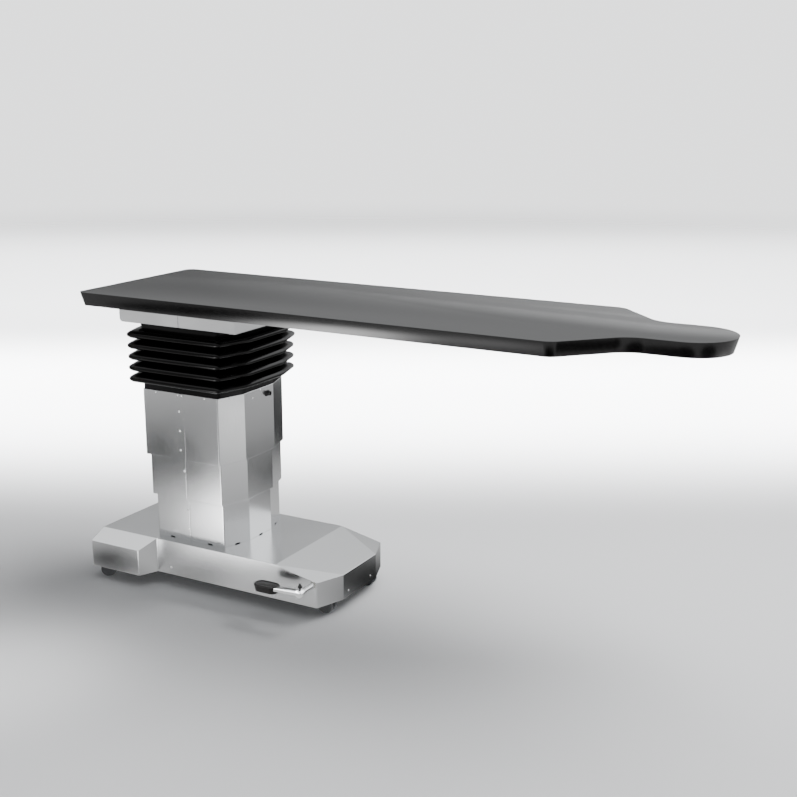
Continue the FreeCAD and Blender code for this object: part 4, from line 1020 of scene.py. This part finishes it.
@dataclass
class Studio:
    """Pale floor, soft lights, a reflection card and the camera.

    The card's patches, the side glow and the sky's steps are fitted to the steel's greys in one
    view. They stand in for a real room and aren't a model of one.
    """

    camera_place: Point = (2.3682, -3.0725, 1.5630)
    heading_deg: float = 29.0
    pitch_deg: float = 14.367
    lens_mm: float = 56.06
    floor_size: float = 400.0
    floor_colour: str = "e2e3e5"
    card_lift: float = 1 * MM
    card_size: float = 14.0
    card_level: float = 0.8
    room_share: float = 0.15          # how much of the room's light falls on dull surfaces
    backdrop: float = 2.15            # what the camera sees behind the floor
    fade: tuple[float, float] = (5.5, 13.0)    # the floor melts into it between these
    side_glow: Point = (0.57, 0.68, 0.46)    # way to the light that the deck throws on the column
    side_glow_level: float = 2.6
    side_glow_edge: tuple[float, float] = (0.8, 0.97)    # cosines where it starts and is full
    low_sky: tuple[float, float] = (0.3, 1.0)     # level near the horizon, left and right
    low_sky_across: tuple[float, float] = (-0.16, 0.23)
    sky_change: tuple[float, float] = (0.2, 0.36)    # heights between the low and high sky
    high_sky: tuple[tuple[float, float], ...] = (    # height and level
        (0.3, 0.55), (0.45, 1.0), (0.6, 1.5), (0.8, 1.9), (1.0, 2.6))
    # Painted reflections: each patch brightens the card's glow, or darkens it where its strength
    # is negative, at the spot that the surface named beside it mirrors.
    patches: tuple[Patch, ...] = (
        Patch(-0.08, -0.92, 0.56, 14.0),    # front of the column, low down
        Patch(-1.3, -1.8, 0.8, -0.45),      # front of the column, high up
        Patch(-2.8, -3.6, 1.3, 1.2),        # side of the housing
        Patch(-0.32, -0.38, 0.2, -0.62),    # front of the outrigger
        Patch(-0.45, -0.42, 0.16, -0.5),    # its left end
        Patch(-0.05, -0.33, 0.22, -0.4),    # long side of the base
        Patch(0.6, 0.18, 0.5, -0.78),       # end of the base
        Patch(2.2, 0.6, 0.9, 1.7),          # near chamfer of the column
        Patch(0.75, 1.1, 0.8, -0.8),        # end face of the column
        Patch(1.5, 1.7, 0.8, -0.3),         # end face of the column, high up
        Patch(0.0, 2.2, 1.5, -1.1),         # far chamfer of the column
        Patch(-0.98, -1.22, 0.55, -2.6),    # tabletop's side near the foot end
        Patch(0.5, -1.25, 0.5, 1.8),        # tabletop's side near the middle
        Patch(1.5, -0.95, 0.65, -2.5),      # tabletop's head
        Patch(2.6, -0.5, 0.7, -2.0),        # tabletop's taper
    )
    lamps: tuple[AreaLamp, ...] = (
        AreaLamp("band_lamp", (-1.15, 2.05, 2.5), (-1.15, 2.05, 0.0), 14.0, 2.2, 950.0,
                 40.0, 29.0),
        AreaLamp("background_lamp", (-2.9, 5.2, 3.5), (-2.9, 5.2, 0.0), 22.0, 6.5, 2300.0,
                 70.0, 29.0),
        AreaLamp("key_lamp", (1.9, 1.3, 4.2), (0.3, 0.0, 0.2), 3.2, 3.2, 330.0),
    )

    def build(self) -> None:
        """Make the floor, lights, sky and camera."""
        self.floor()
        self.card()
        self.sky()
        for lamp in self.lamps:
            self.hang(lamp)
        self.camera()

    def floor(self) -> None:
        """Lay a plain pale floor that melts into the backdrop, and hide it from reflections."""
        clear_selection()
        bpy.ops.mesh.primitive_plane_add(size=self.floor_size, location=(0.0, 0.0, 0.0))
        ground = settle(bpy.context.object, "studio_floor")
        material, tree = fresh_material("studio_floor_paint")
        shader = add_node(tree, "ShaderNodeBsdfPrincipled",
                          {"Base Color": linear(self.floor_colour), "Roughness": 0.7,
                           "Specular IOR Level": 0.1})
        place = add_node(tree, "ShaderNodeTexCoord").outputs["Object"]
        away = add_node(tree, "ShaderNodeVectorMath", {"operation": "LENGTH"}, {0: place})
        fade = spread(tree, away.outputs["Value"], 0.0, 1.0, *self.fade)
        clear = add_node(tree, "ShaderNodeBsdfTransparent")
        melted = add_node(tree, "ShaderNodeMixShader",
                          links={0: fade, 1: shader.outputs[0], 2: clear.outputs[0]})
        finish_surface(tree, melted)
        ground.data.materials.append(material)
        ground.visible_glossy = False

    def card(self) -> None:
        """Lay a card in the floor's place that only reflections see, with soft patches."""
        clear_selection()
        bpy.ops.mesh.primitive_plane_add(size=self.card_size,
                                         location=(0.0, 0.0, self.card_lift))
        card = settle(bpy.context.object, "studio_reflection_card")
        material, tree = fresh_material("studio_reflection_light")
        place = add_node(tree, "ShaderNodeTexCoord").outputs["Object"]
        total = None
        for patch in self.patches:
            away = add_node(tree, "ShaderNodeVectorMath",
                            {"operation": "DISTANCE", 1: (patch.x, patch.y, self.card_lift)},
                            {0: place})
            soft = add_node(tree, "ShaderNodeMapRange",
                            {"interpolation_type": "SMOOTHERSTEP", "From Min": 0.0,
                             "From Max": patch.radius, "To Min": patch.strength, "To Max": 0.0},
                            {"Value": away.outputs["Value"]})
            if total is None:
                total = add_node(tree, "ShaderNodeMath", {"operation": "ADD", 1: self.card_level},
                                 {0: soft.outputs["Result"]})
            else:
                total = add_node(tree, "ShaderNodeMath", {"operation": "ADD"},
                                 {0: soft.outputs["Result"], 1: total.outputs[0]})
        lit = add_node(tree, "ShaderNodeMath", {"operation": "MAXIMUM", 1: 0.01},
                       {0: total.outputs[0]})
        glow = add_node(tree, "ShaderNodeEmission", {"Color": (1.0, 1.0, 1.0, 1.0)},
                        {"Strength": lit.outputs[0]})
        finish_surface(tree, glow)
        card.data.materials.append(material)
        card.visible_camera = False
        card.visible_diffuse = False
        card.visible_shadow = False
        card.visible_transmission = False

    def sky(self) -> None:
        """Fill the room with soft light that grows with height and towards the right.

        Camera rays see a plain backdrop instead, and dull surfaces get a smaller share.
        """
        world = bpy.data.worlds.new("studio_sky")
        bpy.context.scene.world = world
        world.use_nodes = True
        tree = world.node_tree
        tree.nodes.clear()
        way = add_node(tree, "ShaderNodeTexCoord").outputs["Generated"]
        height = add_node(tree, "ShaderNodeSeparateXYZ", links={0: way}).outputs["Z"]
        turn = math.radians(self.heading_deg)
        across = add_node(tree, "ShaderNodeVectorMath",
                          {"operation": "DOT_PRODUCT",
                           1: (math.cos(turn), math.sin(turn), 0.0)}, {0: way})
        low = spread(tree, across.outputs["Value"], *self.low_sky, *self.low_sky_across)
        ramp = add_node(tree, "ShaderNodeValToRGB", links={0: height})
        stops = self.high_sky
        ramp.color_ramp.elements[0].position = stops[0][0]
        ramp.color_ramp.elements[0].color = self.grey(stops[0][1] / stops[-1][1])
        ramp.color_ramp.elements[1].position = stops[-1][0]
        ramp.color_ramp.elements[1].color = self.grey(1.0)
        for position, level in stops[1:-1]:
            element = ramp.color_ramp.elements.new(position)
            element.color = self.grey(level / stops[-1][1])
        high = add_node(tree, "ShaderNodeMath", {"operation": "MULTIPLY", 1: stops[-1][1]},
                        {0: ramp.outputs["Color"]})
        rise = spread(tree, height, 0.0, 1.0, *self.sky_change)
        level = add_node(tree, "ShaderNodeMix", {"data_type": "FLOAT"},
                         {0: rise, 2: low, 3: high.outputs[0]})
        glow = add_node(tree, "ShaderNodeVectorMath",
                        {"operation": "DOT_PRODUCT", 1: self.side_glow}, {0: way})
        added = spread(tree, glow.outputs["Value"], 0.0, self.side_glow_level,
                       *self.side_glow_edge)
        level = add_node(tree, "ShaderNodeMath", {"operation": "ADD"},
                         {0: level.outputs[0], 1: added})
        seen = add_node(tree, "ShaderNodeLightPath").outputs["Is Camera Ray"]
        spreading = add_node(tree, "ShaderNodeLightPath").outputs["Is Diffuse Ray"]
        dimmed = add_node(tree, "ShaderNodeMath", {"operation": "MULTIPLY", 1: self.room_share},
                          {0: level.outputs[0]})
        room = add_node(tree, "ShaderNodeMix", {"data_type": "FLOAT"},
                        {0: spreading, 2: level.outputs[0], 3: dimmed.outputs[0]})
        final = add_node(tree, "ShaderNodeMix", {"data_type": "FLOAT", 3: self.backdrop},
                         {0: seen, 2: room.outputs[0]})
        light = add_node(tree, "ShaderNodeBackground", {"Color": linear("fbfcfd")},
                         {"Strength": final.outputs[0]})
        add_node(tree, "ShaderNodeOutputWorld", links={"Surface": light.outputs[0]})

    @staticmethod
    def grey(level: float) -> tuple[float, float, float, float]:
        """A linear grey."""
        return (level, level, level, 1.0)

    @staticmethod
    def hang(lamp: AreaLamp) -> None:
        """Hang one large soft lamp.

        Args:
            lamp: its place, target, size, power, beam and turn.
        """
        data = bpy.data.lights.new(lamp.name, "AREA")
        data.shape = "RECTANGLE"
        data.size = lamp.width
        data.size_y = lamp.depth
        data.energy = lamp.watts
        data.spread = math.radians(lamp.spread_deg)
        light = bpy.data.objects.new(lamp.name, data)
        bpy.context.scene.collection.objects.link(light)
        light.location = lamp.place
        look = Vector(lamp.target) - Vector(lamp.place)
        turn = Quaternion((0.0, 0.0, 1.0), math.radians(lamp.turn_deg))
        light.rotation_euler = (look.to_track_quat("-Z", "Y") @ turn).to_euler()
        light.visible_glossy = False
        light.visible_camera = False

    def camera(self) -> None:
        """Stand the camera where the photograph was taken."""
        data = bpy.data.cameras.new("studio_camera")
        data.lens = self.lens_mm
        data.sensor_width = 36.0
        data.clip_end = 1000.0
        camera = bpy.data.objects.new("studio_camera", data)
        bpy.context.scene.collection.objects.link(camera)
        camera.location = self.camera_place
        camera.rotation_euler = (math.radians(90.0 - self.pitch_deg), 0.0,
                                 math.radians(self.heading_deg))
        bpy.context.scene.camera = camera


def main() -> None:
    """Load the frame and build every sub-assembly in order."""
    logging.basicConfig(level=logging.INFO, format="%(name)s: %(message)s")
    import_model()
    finishes = Finishes()
    for part in (CarriedOver(finishes), Tabletop(finishes), Bellows(finishes),
                 SmoothedCopies(finishes), Fasteners(finishes), Studio()):
        part.build()


if __name__ == "__main__":
    main()
